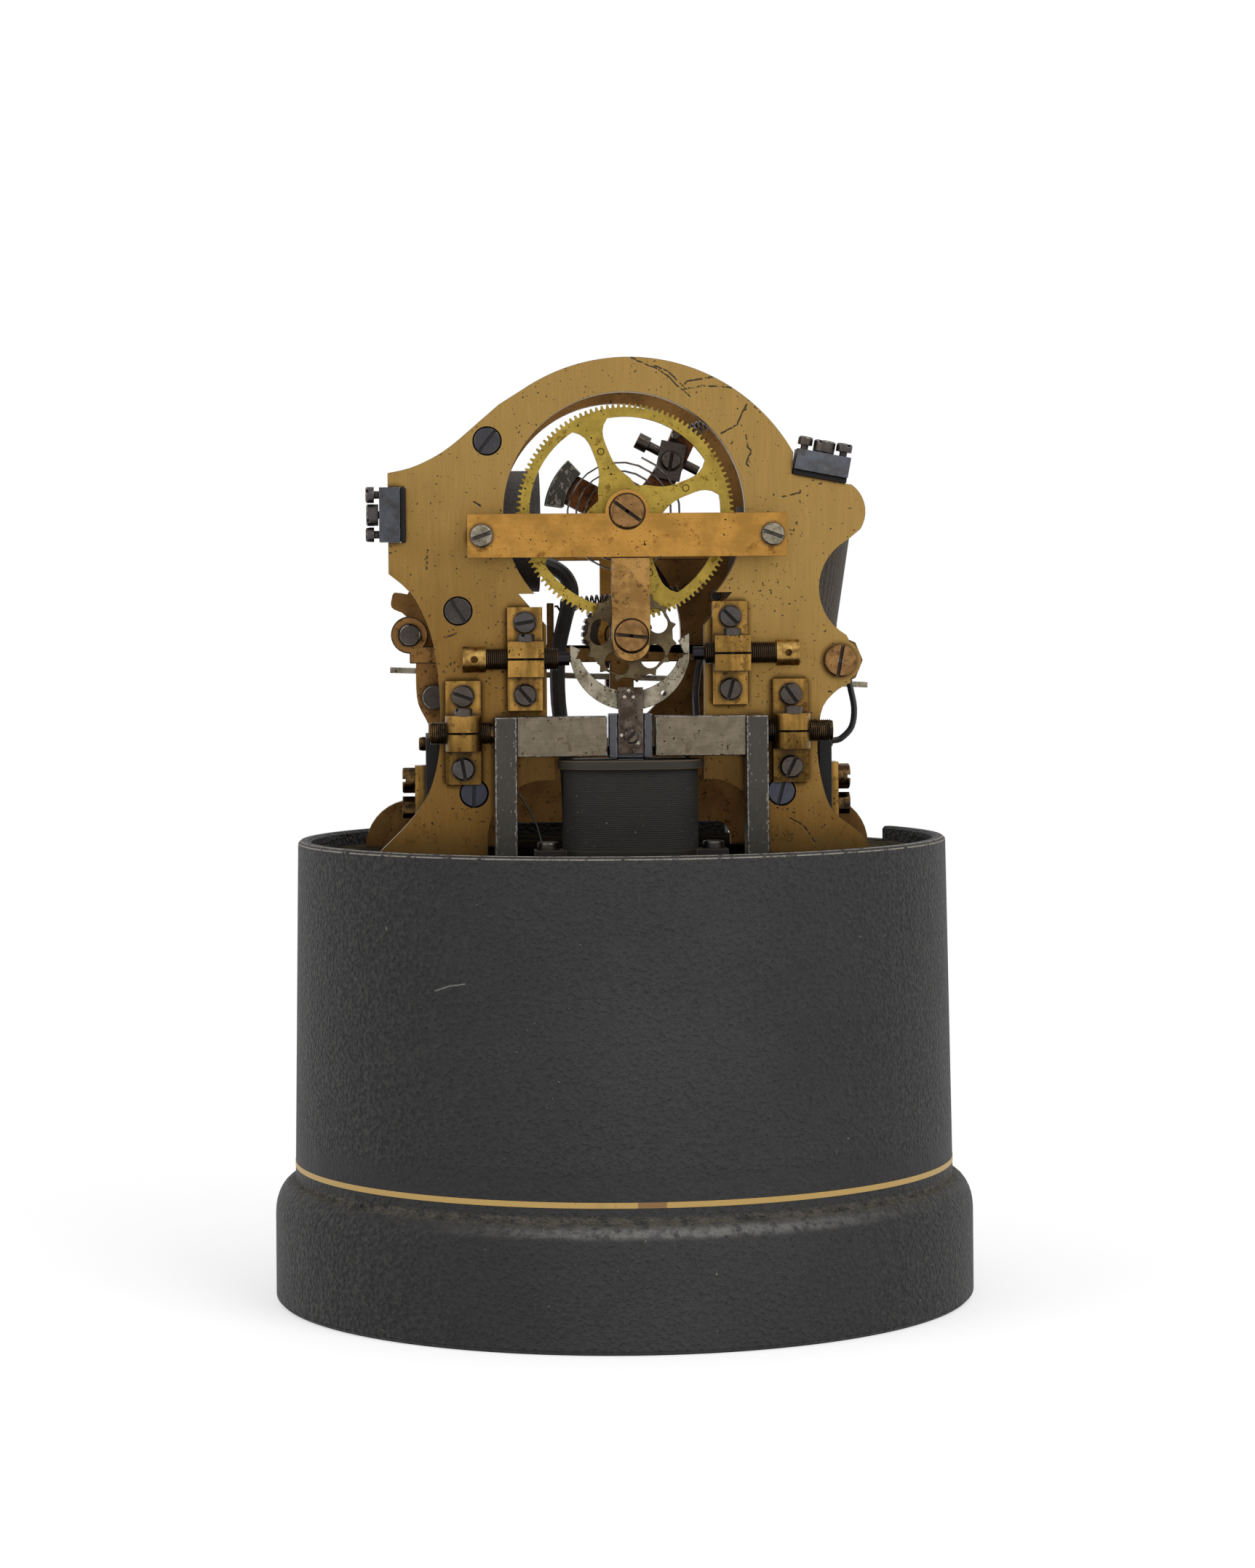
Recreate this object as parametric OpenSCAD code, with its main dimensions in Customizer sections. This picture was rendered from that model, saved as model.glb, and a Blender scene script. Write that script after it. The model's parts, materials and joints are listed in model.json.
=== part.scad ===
// Stock ticker: a brass plate frame with its escapement and printing train, on a cast iron drum.
// Millimetres. +X is to the right, +Y runs from the escapement side to the printing side, +Z is up.
// The origin is the centre of the face that the base stands on.

/* [Base] */
// Radius of the foot flange
flange_r = 101.5; // [98:0.5:110]
// Height where the side of the flange starts to round off
flange_h = 25; // [18:1:30]
// Height where the flange meets the drum
shoulder_z = 34.5; // [32:0.5:40]
// Radius of the drum at the rim
drum_top_r = 94.3; // [93.8:0.1:95.5]
// How much wider the drum is at the flange
drum_taper = 1.4; // [0.5:0.1:2]
// Height of the rim
rim_z = 132.6; // [126:0.2:140]
// Thickness of the drum's wall
drum_wall = 3.8; // [3:0.1:5]
// Depth of the deck below the rim
deck_drop = 4.1; // [3:0.1:6]
// Thickness of the deck plate
deck_t = 4; // [3:0.5:6]
// Width of the ledge that carries the deck
ledge_w = 10; // [8:0.5:14]
// Angle where the notch in the rim starts, from +X
notch_start = 26; // [20:1:35]
// Angle that the notch in the rim takes
notch_sweep = 40; // [20:1:60]

/* [Plates] */
// Distance of the front plate's face in front of the axis
front_face = 30; // [28:0.5:33]
// Thickness of each plate
plate_t = 4.8; // [4:0.1:6]
// Clear distance between the plates
plate_gap = 48.7; // [46:0.1:52]
// Half width of a plate at its feet
plate_half_w = 71.5; // [70:0.5:73]
// Radius of the arched top
arch_r = 54; // [52:0.5:57]
// Height of the arch's centre above the deck
arch_h = 88.4; // [86:0.1:91]
// Radius of the round opening
opening_r = 34.5; // [33:0.1:36]
// Half width of the slot below the round opening
slot_half_w = 22.5; // [21:0.1:23]
// Half width of the opening between the feet
leg_gap_half = 39.6; // [39.4:0.1:40.5]
// Height of the arched opening between the feet
leg_gap_h = 21.9; // [20:0.1:24]
// Radius of the pillars
pillar_r = 4; // [3.5:0.1:4.5]

/* [Train] */
// Height of the main axis above the deck
axle_h = 98; // [96:0.1:100]
// Module of the wheel and pinion
gear_module = 0.508; // [0.5:0.002:0.52]
// Teeth of the great wheel
wheel_teeth = 120; // [120:18:138]
// Leaves of the escape pinion
pinion_teeth = 18; // [18:1:18]
// Lean of the escape axis away from straight down
train_lean = 1.6; // [0:0.1:2]
// Thickness of the great wheel
wheel_t = 2; // [1.6:0.1:2.2]
// Inner radius of the great wheel's rim
wheel_rim_r = 27.2; // [26.5:0.1:27.6]
// Radius of the tips of the escape wheel
escape_tip_r = 13.3; // [12.8:0.1:13.4]
// Radius of the great arbor
arbor_r = 2.2; // [2:0.1:2.4]
// Radius of the escape arbor
escape_arbor_r = 1.6; // [1.4:0.1:1.7]
// Radius over the type of the type wheels
type_r = 10.6; // [10:0.1:10.7]

/* [Bridge] */
// Half length of the bridge bar
bar_half = 45; // [44.5:0.5:47]
// Height of the bridge bar
bar_h = 12.3; // [12:0.1:13]
// Thickness of the bridge bar
bar_t = 3.5; // [3:0.1:4]
// Distance of the bridge bar from the plate
bar_standoff = 10.5; // [10.3:0.1:11]
// Width of the bridge leg
leg_w = 10.8; // [10.6:0.1:11.4]

/* [Magnets] */
// Outer radius of the horseshoe magnet's bend
magnet_r = 38.7; // [38.2:0.1:39]
// Width of the horseshoe magnet's limbs
limb_w = 6.3; // [5.8:0.1:6.8]
// Depth of the horseshoe magnet
limb_d = 10; // [9:0.5:10.5]
// Height of the limbs above the deck
limb_h = 40.3; // [39.5:0.1:41]
// Width of the coil's winding
coil_w = 38.3; // [37:0.1:40]
// Depth of the coil's winding
coil_d = 24; // [22:0.5:26]
// Height of the coil over its flanges
coil_h = 27.9; // [27:0.1:28.2]
// Radius of the winding magnet
winding_magnet_r = 17.7; // [16.5:0.1:17.9]
// Radius of the press magnet
press_magnet_r = 17; // [15:0.1:17.5]

/* [Screws] */
// Head radius of the screws in the clamp feet
foot_head_r = 3.1; // [2.8:0.1:3.3]
// Thread radius of the stop and pole screws
stop_r = 2.9; // [2.6:0.1:3]
// Width of the screw slots
slot_w = 1; // [0.6:0.1:1.4]

/* [Hidden] */

$fn = 48;

// Overrun of a cut past a face, play of a running fit, and gap of a loose fit
over = 1;
running = 0.05;
loose = 0.3;

// Screw details
slot_d = 0.9;
head_edge = 0.35;
shank_r = 1.3;

// Places that follow from the driving sizes
deck_z = rim_z - deck_drop;
drum_low_r = drum_top_r + drum_taper;
rim_inner_r = drum_top_r - drum_wall;
deck_r = rim_inner_r - loose;
front_y = -front_face;
front_back_y = front_y + plate_t;
back_y = front_back_y + plate_gap;
rear_y = back_y + plate_t;
axle_z = deck_z + axle_h;
plate_h = arch_h + arch_r;
pitch_r = gear_module * wheel_teeth / 2;
pinion_pitch_r = gear_module * pinion_teeth / 2;
centre_distance = pitch_r + pinion_pitch_r;
escape_x = centre_distance * sin(train_lean);
escape_z = axle_z - centre_distance * cos(train_lean);

// Depths of the layers in front of the front plate, from its face
foot_t = 3;
fork_out = 6.2;
fork_t = 2.4;
strip_t = 1.2;
wheel_out = 2.2;
fork_y = front_y - fork_out;
strip_back_y = fork_y - fork_t / 2;
strip_front_y = strip_back_y - strip_t;
wheel_y = front_y - wheel_out;
bar_back_y = front_y - bar_standoff;
bar_front_y = bar_back_y - bar_t;

// Basic solids, placed by their faces or along an axis
module along_y(y0, y1) { translate([0, y1, 0]) rotate([90, 0, 0]) linear_extrude(y1 - y0) children(); }
module box(x0, x1, y0, y1, z0, z1) { translate([x0, y0, z0]) cube([x1 - x0, y1 - y0, z1 - z0]); }
module rod_x(y, z, r, x0, x1) { translate([x0, y, z]) rotate([0, 90, 0]) cylinder(r = r, h = x1 - x0); }
module rod_y(x, z, r, y0, y1) { translate([x, y1, z]) rotate([90, 0, 0]) cylinder(r = r, h = y1 - y0); }
module rod_z(x, y, r, z0, z1) { translate([x, y, z0]) cylinder(r = r, h = z1 - z0); }
module facing_front(p) { translate(p) rotate([90, 0, 0]) children(); }
module facing_back(p) { translate(p) rotate([-90, 0, 0]) children(); }
module facing_left(p) { translate(p) rotate([0, -90, 0]) children(); }
module facing_right(p) { translate(p) rotate([0, 90, 0]) children(); }

// A turned solid about the Y axis through x and z, from points of radius and y
module turned_y(x, z, profile) {
    translate([x, 0, z]) rotate([-90, 0, 0]) rotate_extrude() polygon(profile);
}

// A flat bar with round ends, in a plane
module link(a, b, r) {
    d = b - a;
    for (p = [a, b]) translate(p) circle(r);
    translate(a) rotate(atan2(d[1], d[0])) translate([0, -r]) square([norm(d), 2 * r]);
}

// A slotted screw, head up, its seat at the origin
module slotted_screw(head_r, head_h, r, length, turn = 0) {
    difference() {
        rotate_extrude() polygon(concat(
            length > 0 ? [[0, -length], [r, -length], [r, 0]] : [[0, 0]],
            [[head_r, 0], [head_r, head_h - head_edge], [head_r - head_edge, head_h], [0, head_h]]
        ));
        rotate(turn) translate([-head_r - over, -slot_w / 2, head_h - slot_d])
            cube([2 * (head_r + over), slot_w, slot_d + over]);
    }
}

// Points on curves
function polar(r, a) = [r * cos(a), r * sin(a)];
function arc(c, r, a0, a1, n) = [for (i = [0 : n]) c + polar(r, a0 + (a1 - a0) * i / n)];
function between(p0, p1, p2, p3, t) = (2 * p1 + (p2 - p0) * t + (2 * p0 - 5 * p1 + 4 * p2 - p3) * t * t
    + (3 * p1 - p0 - 3 * p2 + p3) * t * t * t) / 2;
function smooth(pts, steps) = let (n = len(pts) - 1) concat(
    [for (i = [0 : n - 1], k = [0 : steps - 1])
        between(pts[max(i - 1, 0)], pts[i], pts[i + 1], pts[min(i + 2, n)], k / steps)],
    [pts[n]]
);
function teeth(count, root_r, tip_r, root_share, tip_share, phase) = [
    for (i = [0 : count - 1], k = [[root_r, -root_share], [tip_r, -tip_share], [tip_r, tip_share],
        [root_r, root_share]]) polar(k[0], phase + (i + k[1] / 2) * 360 / count)
];

// A round tube along points, with one normal for each point
function directions(p) = [
    for (i = [0 : len(p) - 1]) let (t = p[min(i + 1, len(p) - 1)] - p[max(i - 1, 0)]) t / norm(t)
];
module tube(p, normals, r, sides) {
    n = len(p);
    along = directions(p);
    rings = [for (i = [0 : n - 1]) let (
        m = normals[i] - along[i] * (normals[i] * along[i]),
        a = m / norm(m),
        b = cross(along[i], a)
    ) for (k = [0 : sides - 1]) p[i] + r * (a * cos(k * 360 / sides) + b * sin(k * 360 / sides))];
    side_faces = [for (i = [0 : n - 2], k = [0 : sides - 1]) let (
        a = i * sides + k,
        b = i * sides + (k + 1) % sides
    ) each [[a, a + sides, b + sides], [a, b + sides, b]]];
    ends = [for (k = [1 : sides - 2]) each [[0, k, k + 1],
        [(n - 1) * sides, (n - 1) * sides + k + 1, (n - 1) * sides + k]]];
    polyhedron(points = rings, faces = concat(side_faces, ends));
}

// A helical spring along +Z from the origin, with straight ends on its axis
function spring_points(length, coil_r, curls, tail) = concat(
    [[0, 0, -tail], [0, 0, -tail / 2]],
    [for (i = [0 : curls * 8]) [
        coil_r * cos(i * 45), coil_r * sin(i * 45), length * i / (curls * 8)
    ]],
    [[0, 0, length + tail / 2], [0, 0, length + tail]]
);
function spring_normals(curls) = concat(
    [[1, 0, 0], [1, 0, 0]],
    [for (i = [0 : curls * 8]) [cos(i * 45), sin(i * 45), 0]],
    [[1, 0, 0], [1, 0, 0]]
);
function least_gap(p, skip, r) = min([
    for (i = [0 : len(p) - 1 - skip], j = [i + skip : 1 : len(p) - 1]) norm(p[i] - p[j])
]) - 2 * r;
module spring_between(a, b, coil_r, curls, wire_r, tail) {
    d = b - a;
    length = norm(d) - 2 * tail;
    points = spring_points(length, coil_r, curls, tail);
    echo(spring_gap = least_gap(points, 5, wire_r));
    translate(a) rotate([0, acos(d[2] / norm(d)), atan2(d[1], d[0])]) translate([0, 0, tail])
        tube(points, spring_normals(curls), wire_r, 6);
}

// Base drum
foot_edge = 1.2;
shoulder_steps = 8;
ledge_h = 8;
rim_edge = 0.8;
deck_screw_r = 3.5;
deck_screw_ring = rim_inner_r - ledge_w / 2;
module base_drum() {
    color([0.18, 0.18, 0.18]) difference() {
        rotate_extrude($fn = 120) polygon(concat(
            [[drum_low_r - drum_wall, 0], [flange_r - foot_edge, 0], [flange_r, foot_edge]],
            [for (i = [0 : shoulder_steps]) let (a = 90 * i / shoulder_steps) [
                drum_low_r + (flange_r - drum_low_r) * cos(a),
                flange_h + (shoulder_z - flange_h) * sin(a)
            ]],
            [[drum_top_r, rim_z - rim_edge], [drum_top_r - rim_edge, rim_z],
            [rim_inner_r + rim_edge, rim_z], [rim_inner_r, rim_z - rim_edge],
            [rim_inner_r, deck_z - deck_t], [rim_inner_r - ledge_w, deck_z - deck_t],
            [rim_inner_r - ledge_w, deck_z - deck_t - ledge_h],
            [drum_low_r - drum_wall, deck_z - deck_t - 2 * ledge_h]]
        ));
        rotate(notch_start) rotate_extrude(angle = notch_sweep, $fn = 120)
            translate([rim_inner_r - over, deck_z])
                square([drum_wall + 2 * over, deck_drop + over]);
        deck_screw_places() cylinder(r = shank_r + running, h = 2 * (deck_t + ledge_h), center = true);
    }
}
module deck_screw_places() {
    for (a = [45 : 90 : 315]) translate([deck_screw_ring * cos(a), deck_screw_ring * sin(a), deck_z])
        children();
}

// Deck, with slots for the magnet and a hole for the armature
magnet_x = 1;
armature_x = 0.85;
limb_y = fork_y + 0.2;
stem_w = 7.6;
stem_d = 6;
stem_y = fork_y + 2.2;
stem_play = 1.4;
pivot_drop = 6.5;
pivot_r = 1.5;
lug_t = 1.8;
lug_w = 9;
lug_y = [stem_y - stem_d / 2 - loose - lug_t, stem_y + stem_d / 2 + loose];
pivot_z = deck_z - pivot_drop;
foot_screw_shares = [-0.86, -0.66, 0.66, 0.86];
coil_screw_x = 23.5;
module deck_plate() {
    color([0.22, 0.21, 0.2]) difference() {
        union() {
            rod_z(0, 0, deck_r, deck_z - deck_t, deck_z);
            for (y = lug_y) {
                box(armature_x - lug_w / 2, armature_x + lug_w / 2, y, y + lug_t,
                    pivot_z - pivot_r * 2, deck_z - deck_t);
            }
        }
        for (s = [-1, 1]) {
            box(magnet_x + s * (magnet_r - limb_w / 2) - limb_w / 2 - loose,
                magnet_x + s * (magnet_r - limb_w / 2) + limb_w / 2 + loose,
                limb_y - limb_d / 2 - loose, limb_y + limb_d / 2 + loose,
                deck_z - deck_t - over, deck_z + over);
            rod_z(armature_x + s * coil_screw_x, stem_y, shank_r + running, deck_z - deck_t - over,
                deck_z + over);
        }
        box(armature_x - stem_w / 2 - stem_play, armature_x + stem_w / 2 + stem_play,
            stem_y - stem_d / 2 - loose, stem_y + stem_d / 2 + loose,
            deck_z - deck_t - over, deck_z + over);
        rod_y(armature_x, pivot_z, pivot_r + running, lug_y[0] - over, lug_y[1] + lug_t + over);
        foot_screw_places() cylinder(r = shank_r + running, h = deck_t + 2 * over);
        deck_screw_places() cylinder(r = shank_r + running, h = 3 * deck_t, center = true);
    }
}
module foot_screw_places() {
    for (y = [front_y, back_y], s = foot_screw_shares)
        translate([s * plate_half_w, y + plate_t / 2, deck_z - deck_t - over]) children();
}
deck_head_h = 2.2;
module deck_screws() {
    color([0.35, 0.34, 0.34]) {
        deck_screw_places() slotted_screw(deck_screw_r, deck_head_h, shank_r, deck_t + ledge_h / 2, 30);
        for (s = [-1, 1]) translate([armature_x + s * coil_screw_x, stem_y, deck_z + bobbin_t])
            slotted_screw(foot_head_r, deck_head_h, shank_r, bobbin_t + deck_t, 20);
    }
}
foot_screw_l = 7;
foot_screw_head = 2.2;
module foot_screws() {
    color([0.4, 0.39, 0.38]) foot_screw_places() translate([0, 0, over]) mirror([0, 0, 1])
        slotted_screw(foot_screw_head, deck_head_h, shank_r, deck_t + foot_screw_l, 0);
}

// Plates: outline points are shares of the half width and of the height above the deck
arch_x = 1.3;
arch_start = 124;
arch_end = 29.4;
foot_share = [1, 0];
left_waist_shares = [[-0.972, 0.02], [-0.9, 0.055], [-0.845, 0.086], [-0.793, 0.124],
    [-0.759, 0.174], [-0.74, 0.236], [-0.739, 0.3], [-0.748, 0.37], [-0.776, 0.45],
    [-0.836, 0.518], [-0.89, 0.549]];
left_edge_shares = [[-0.94, 0.569], [-0.941, 0.77]];
left_shoulder_shares = [[-0.941, 0.77], [-0.852, 0.78], [-0.762, 0.8], [-0.683, 0.826],
    [-0.585, 0.868], [-0.497, 0.906]];
right_shelf_shares = [[0.669, 0.764], [0.9, 0.742]];
right_waist_shares = [[0.9, 0.344], [0.846, 0.33], [0.787, 0.297], [0.768, 0.246], [0.764, 0.21],
    [0.772, 0.17], [0.789, 0.13], [0.813, 0.097], [0.849, 0.075], [0.899, 0.057],
    [0.943, 0.038], [0.972, 0.015]];
lobe_share = [0.832, 0.688];
lobe_r = 9.4;
bite_share = [0.992, 0.534];
bite_r = 15.5;
pivot_lobe_share = [0.855, 0.389];
pivot_lobe_r = 6.2;
function on_plate(s) = [s[0] * plate_half_w, deck_z + s[1] * plate_h];
function plate_points(list) = [for (s = list) on_plate(s)];
lobe_c = on_plate(lobe_share);
pivot_lobe_c = on_plate(pivot_lobe_share);
function front_outline() = concat(
    [on_plate([-foot_share[0], foot_share[1]])],
    smooth(plate_points(left_waist_shares), 3),
    plate_points(left_edge_shares),
    smooth(plate_points(left_shoulder_shares), 3),
    arc([arch_x, deck_z + arch_h], arch_r, arch_start, arch_end, 40),
    plate_points(right_shelf_shares),
    arc(lobe_c, lobe_r, 55, -33, 9),
    arc(on_plate(bite_share), bite_r, 119, 240, 14),
    arc(pivot_lobe_c, pivot_lobe_r, 62, -60, 8),
    smooth(plate_points(right_waist_shares), 3),
    [on_plate(foot_share)]
);
notch_w = 4.9;
notch_h = 15.8;
notch_mid_h = 97.8;
key_top_drop = 32;
key_slope_drop = 22.9;
key_slope_half = 30.4;
key_bottom_play = 3.7;
coil_notch_play = 0.45;
bobbin_flange = 1.5;
coil_notch_half = coil_w / 2 + bobbin_flange + coil_notch_play;
coil_notch_h = coil_h + 2 * coil_notch_play;
leg_arch_shares = [[1, -0.05], [1, 0.3], [0.98, 0.48], [0.93, 0.66], [0.87, 0.79], [0.8, 0.885],
    [0.74, 0.945], [0.68, 0.985], [0.62, 1], [0.56, 1]];
function leg_arch(side) = [for (s = leg_arch_shares) [side * s[0] * leg_gap_half, deck_z + s[1] * leg_gap_h]];
function leg_gap_outline() = let (
    n = len(leg_arch_shares) - 1,
    right = leg_arch(1),
    x = [armature_x - coil_notch_half, armature_x + coil_notch_half],
    z = [deck_z + leg_gap_h, deck_z + coil_notch_h]
) concat(
    leg_arch(-1),
    [[x[0], z[0]], [x[0], z[1]], [x[1], z[1]], [x[1], z[0]]],
    [for (i = [0 : n]) right[n - i]]
);
countersunk_h = 2.4;
pillar_shank_r = 2;
pillar_shares = [[-0.545, 0.833], [-0.666, 0.494], [-0.607, 0.13], [0.618, 0.128]];
clamp_w = 10;
clamp_h = 29.4;
clamp_screw_gap = 20.6;
stop_axis_y = fork_y;
stop_clamp_places = [[-28.75, 56.6], [29.6, 57.9]];
pole_clamp_places = [[-46.4, 35.8], [46.7, 35.7]];
function clamp_places() = concat(stop_clamp_places, pole_clamp_places);
post_x = 41;
bar_drop = 6.65;
bar_z = axle_z - bar_drop;
module foot_holes(y0) {
    for (s = foot_screw_shares) rod_z(s * plate_half_w, y0 + plate_t / 2, shank_r + running,
        deck_z - over, deck_z + foot_screw_l + loose);
}
module front_plate() {
    key_bottom_z = deck_z + coil_h + key_bottom_play;
    color([0.72, 0.56, 0.28]) difference() {
        along_y(front_y, front_back_y) difference() {
            polygon(front_outline());
            translate([0, axle_z]) circle(opening_r, $fn = 96);
            polygon([[-key_slope_half, axle_z - key_slope_drop], [-slot_half_w, axle_z - key_top_drop],
                [-slot_half_w, key_bottom_z], [slot_half_w, key_bottom_z],
                [slot_half_w, axle_z - key_top_drop], [key_slope_half, axle_z - key_slope_drop]]);
            polygon(leg_gap_outline());
            translate([left_edge_x() - over, deck_z + notch_mid_h - notch_h / 2])
                square([notch_w + over, notch_h]);
        }
        pillar_bores(front_y - over, front_back_y + over);
        for (p = pillar_places()) rod_y(p[0], p[1], pillar_r + loose / 2, front_y - over,
            front_y + countersunk_h);
        for (c = clamp_places(), s = [-1, 1]) rod_y(c[0], deck_z + c[1] + s * clamp_screw_gap / 2,
            shank_r + running, front_y - over, front_back_y + over);
        for (s = [-1, 1]) rod_y(s * post_x, bar_z, shank_r + running, front_y - over,
            front_back_y + over);
        rod_y(pivot_lobe_c[0], pivot_lobe_c[1], lobe_shank_r + running, front_y - over,
            front_back_y + over);
        rod_y(spring_post[0], spring_post[1], stud_seat_r + running, front_y + plate_t / 2,
            front_back_y + over);
        foot_holes(front_y);
    }
}
function left_edge_x() = left_edge_shares[0][0] * plate_half_w;
function pillar_places() = plate_points(pillar_shares);
module pillar_bores(y0, y1) {
    for (p = pillar_places()) rod_y(p[0], p[1], pillar_shank_r + running, y0, y1);
}

// Back plate
back_foot_share = [0.85, 0];
back_foot_r = 14.3;
back_left_shares = [[-0.755, 0.105], [-0.75, 0.16], [-0.755, 0.21], [-0.783, 0.256], [-0.826, 0.3],
    [-0.835, 0.345], [-0.834, 0.395]];
back_edge_shares = [[-0.842, 0.55], [-0.842, 0.75]];
back_right_shares = [[0.8, 0.75], [0.8, 0.5], [0.775, 0.4], [0.775, 0.2], [0.77, 0.15], [0.757, 0.1]];
back_arch_r = 53.4;
stud_lobe_share = [-0.86, 0.445];
stud_lobe_r = 5.6;
tab_shares = [[-0.892, 0.492], [-0.926, 0.499], [-0.937, 0.508], [-0.933, 0.522], [-0.922, 0.534],
    [-0.869, 0.53]];
function back_outline() = concat(
    arc(on_plate([-back_foot_share[0], back_foot_share[1]]), back_foot_r, 180, 62, 12),
    smooth(plate_points(back_left_shares), 3),
    arc(on_plate(stud_lobe_share), stud_lobe_r, -70, -260, 14),
    smooth(plate_points(tab_shares), 2),
    plate_points(back_edge_shares),
    arc([arch_x, deck_z + arch_h], back_arch_r, 150, 30, 40),
    plate_points(back_right_shares),
    arc(on_plate(back_foot_share), back_foot_r, 118, 0, 12)
);
back_opening_r = 34;
side_opening_share = [-0.185, 0.443];
side_opening_r = 32.7;
side_opening_left = 38;
arch_cut_h = 7.2;
arch_cut_half = 34;
arch_cut_round = 5;
second_stud_share = [-0.76, 0.315];
module back_plate() {
    bridge_low = bar_z - bar_h / 2;
    side_c = on_plate(side_opening_share);
    color([0.55, 0.38, 0.2]) difference() {
        along_y(back_y, rear_y) difference() {
            polygon(back_outline());
            intersection() {
                translate([0, axle_z]) circle(back_opening_r, $fn = 96);
                translate([-flange_r, bridge_low]) square([2 * flange_r, plate_h]);
            }
            intersection() {
                translate(side_c) circle(side_opening_r, $fn = 96);
                translate([-side_opening_left, deck_z]) square([2 * flange_r, bridge_low - deck_z + over]);
            }
            polygon(concat(
                [[arch_cut_half, deck_z - over]],
                arc([arch_cut_half - arch_cut_round, deck_z + arch_cut_h - arch_cut_round],
                    arch_cut_round, 0, 90, 8),
                arc([arch_cut_round - arch_cut_half, deck_z + arch_cut_h - arch_cut_round],
                    arch_cut_round, 90, 180, 8),
                [[-arch_cut_half, deck_z - over]]
            ));
        }
        pillar_bores(back_y - over, rear_y + over);
        for (s = [-1, 1]) rod_y(s * rear_screw_x, bar_z, shank_r + running, back_y - over, rear_y + over);
        for (p = stud_places()) rod_y(p[0], p[1], p[2] + running, back_y - over, rear_y + over);
        rod_y(on_plate(stud_lobe_share)[0], on_plate(stud_lobe_share)[1], press_stud_r + running,
            back_y - over, rear_y + over);
        foot_holes(back_y);
    }
}

// Pillars between the plates and their screws
pillar_screw_l = 12;
module frame_pillars() {
    color([0.6, 0.45, 0.22]) difference() {
        for (p = pillar_places()) rod_y(p[0], p[1], pillar_r, front_back_y, back_y);
        for (y = [front_back_y, back_y])
            pillar_bores(y - pillar_screw_l, y + pillar_screw_l);
    }
}
pillar_turns = [52, -58, 88, 75];
module pillar_screws() {
    color([0.25, 0.25, 0.38]) for (i = [0 : len(pillar_shares) - 1]) {
        p = pillar_places()[i];
        facing_front([p[0], front_y + countersunk_h, p[1]])
            slotted_screw(pillar_r, countersunk_h, pillar_shank_r, pillar_screw_l, pillar_turns[i]);
        facing_back([p[0], rear_y, p[1]])
            slotted_screw(pillar_r, countersunk_h, pillar_shank_r, pillar_screw_l, 90 - pillar_turns[i]);
    }
}

// Bridge in front of the front plate
boss_r = 6.2;
bearing_r = 4.8;
escape_bearing_r = 4.6;
bearing_proud = 1;
leg_setback = 0.4;
leg_t = 4;
leg_x = escape_x - 0.1;
leg_end_drop = 7.3;
tongue_t = 1.8;
tongue_h = 7;
tongue_half = 4.9;
tongue_low = 3;
post_r = 4;
bar_head_r = 3.15;
bar_head_h = 1.8;
leg_front_y = bar_front_y + leg_setback;
leg_back_y = leg_front_y + leg_t;
bar_low_z = bar_z - bar_h / 2;
leg_end_z = escape_z - leg_end_drop + leg_w / 2;
module bridge_bar() {
    color([0.78, 0.58, 0.3]) difference() {
        along_y(bar_front_y, bar_back_y) union() {
            translate([-bar_half, bar_low_z]) square([2 * bar_half, bar_h]);
            translate([0, axle_z]) circle(boss_r);
        }
        rod_y(0, axle_z, bearing_r + running, bar_front_y - over, bar_back_y + over);
        for (s = [-1, 1]) rod_y(s * post_x, bar_z, shank_r + running, bar_front_y - over,
            bar_back_y + over);
    }
}
module bridge_leg() {
    color([0.74, 0.54, 0.28]) difference() {
        union() {
            along_y(leg_front_y, leg_back_y) polygon(concat(
                [[leg_x - leg_w / 2, bar_low_z], [leg_x + leg_w / 2, bar_low_z]],
                arc([leg_x, leg_end_z], leg_w / 2, 0, -180, 24)
            ));
            box(leg_x - tongue_half, leg_x + tongue_half, bar_back_y, bar_back_y + tongue_t,
                bar_low_z - tongue_low, bar_low_z + tongue_h);
        }
        rod_y(escape_x, escape_z, escape_bearing_r + running, leg_front_y - over, leg_back_y + over);
    }
}
module bridge_posts() {
    color([0.6, 0.45, 0.22]) difference() {
        for (s = [-1, 1]) rod_y(s * post_x, bar_z, post_r, bar_back_y, front_y);
        for (s = [-1, 1]) rod_y(s * post_x, bar_z, shank_r + running, bar_back_y - over,
            front_y + over);
    }
}
bridge_screw_l = 14;
rear_screw_x = 38.5;
module bridge_screws() {
    color([0.6, 0.59, 0.57]) for (s = [-1, 1]) {
        facing_front([s * post_x, bar_front_y, bar_z])
            slotted_screw(bar_head_r, bar_head_h, shank_r, bar_t + bridge_screw_l, -20 * s);
        facing_back([s * rear_screw_x, rear_y + bar_t, bar_z])
            slotted_screw(bar_head_r, bar_head_h, shank_r, bar_t + plate_t, 30 * s);
    }
}
bearing_pivot_r = 1.5;
escape_pivot_r = 1;
pivot_l = 3;
module bearing_screw(x, z, r, y0, y1, bore_r, turn) {
    difference() {
        facing_front([x, y0, z]) slotted_screw(r, bearing_proud, r, y1 - y0, turn);
        rod_y(x, z, bore_r + running, y1 - pivot_l - loose, y1 + over);
        rod_y(x, z, slot_w / 2, y0 - bearing_proud - over, y1);
    }
}
module wheel_bearing_screw() {
    color([0.75, 0.52, 0.3]) bearing_screw(0, axle_z, bearing_r, bar_front_y, bar_back_y + tongue_t,
        bearing_pivot_r, -36);
}
module escape_bearing_screw() {
    color([0.75, 0.52, 0.3]) bearing_screw(escape_x, escape_z, escape_bearing_r, leg_front_y,
        leg_back_y + loose, escape_pivot_r, -6);
}

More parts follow.
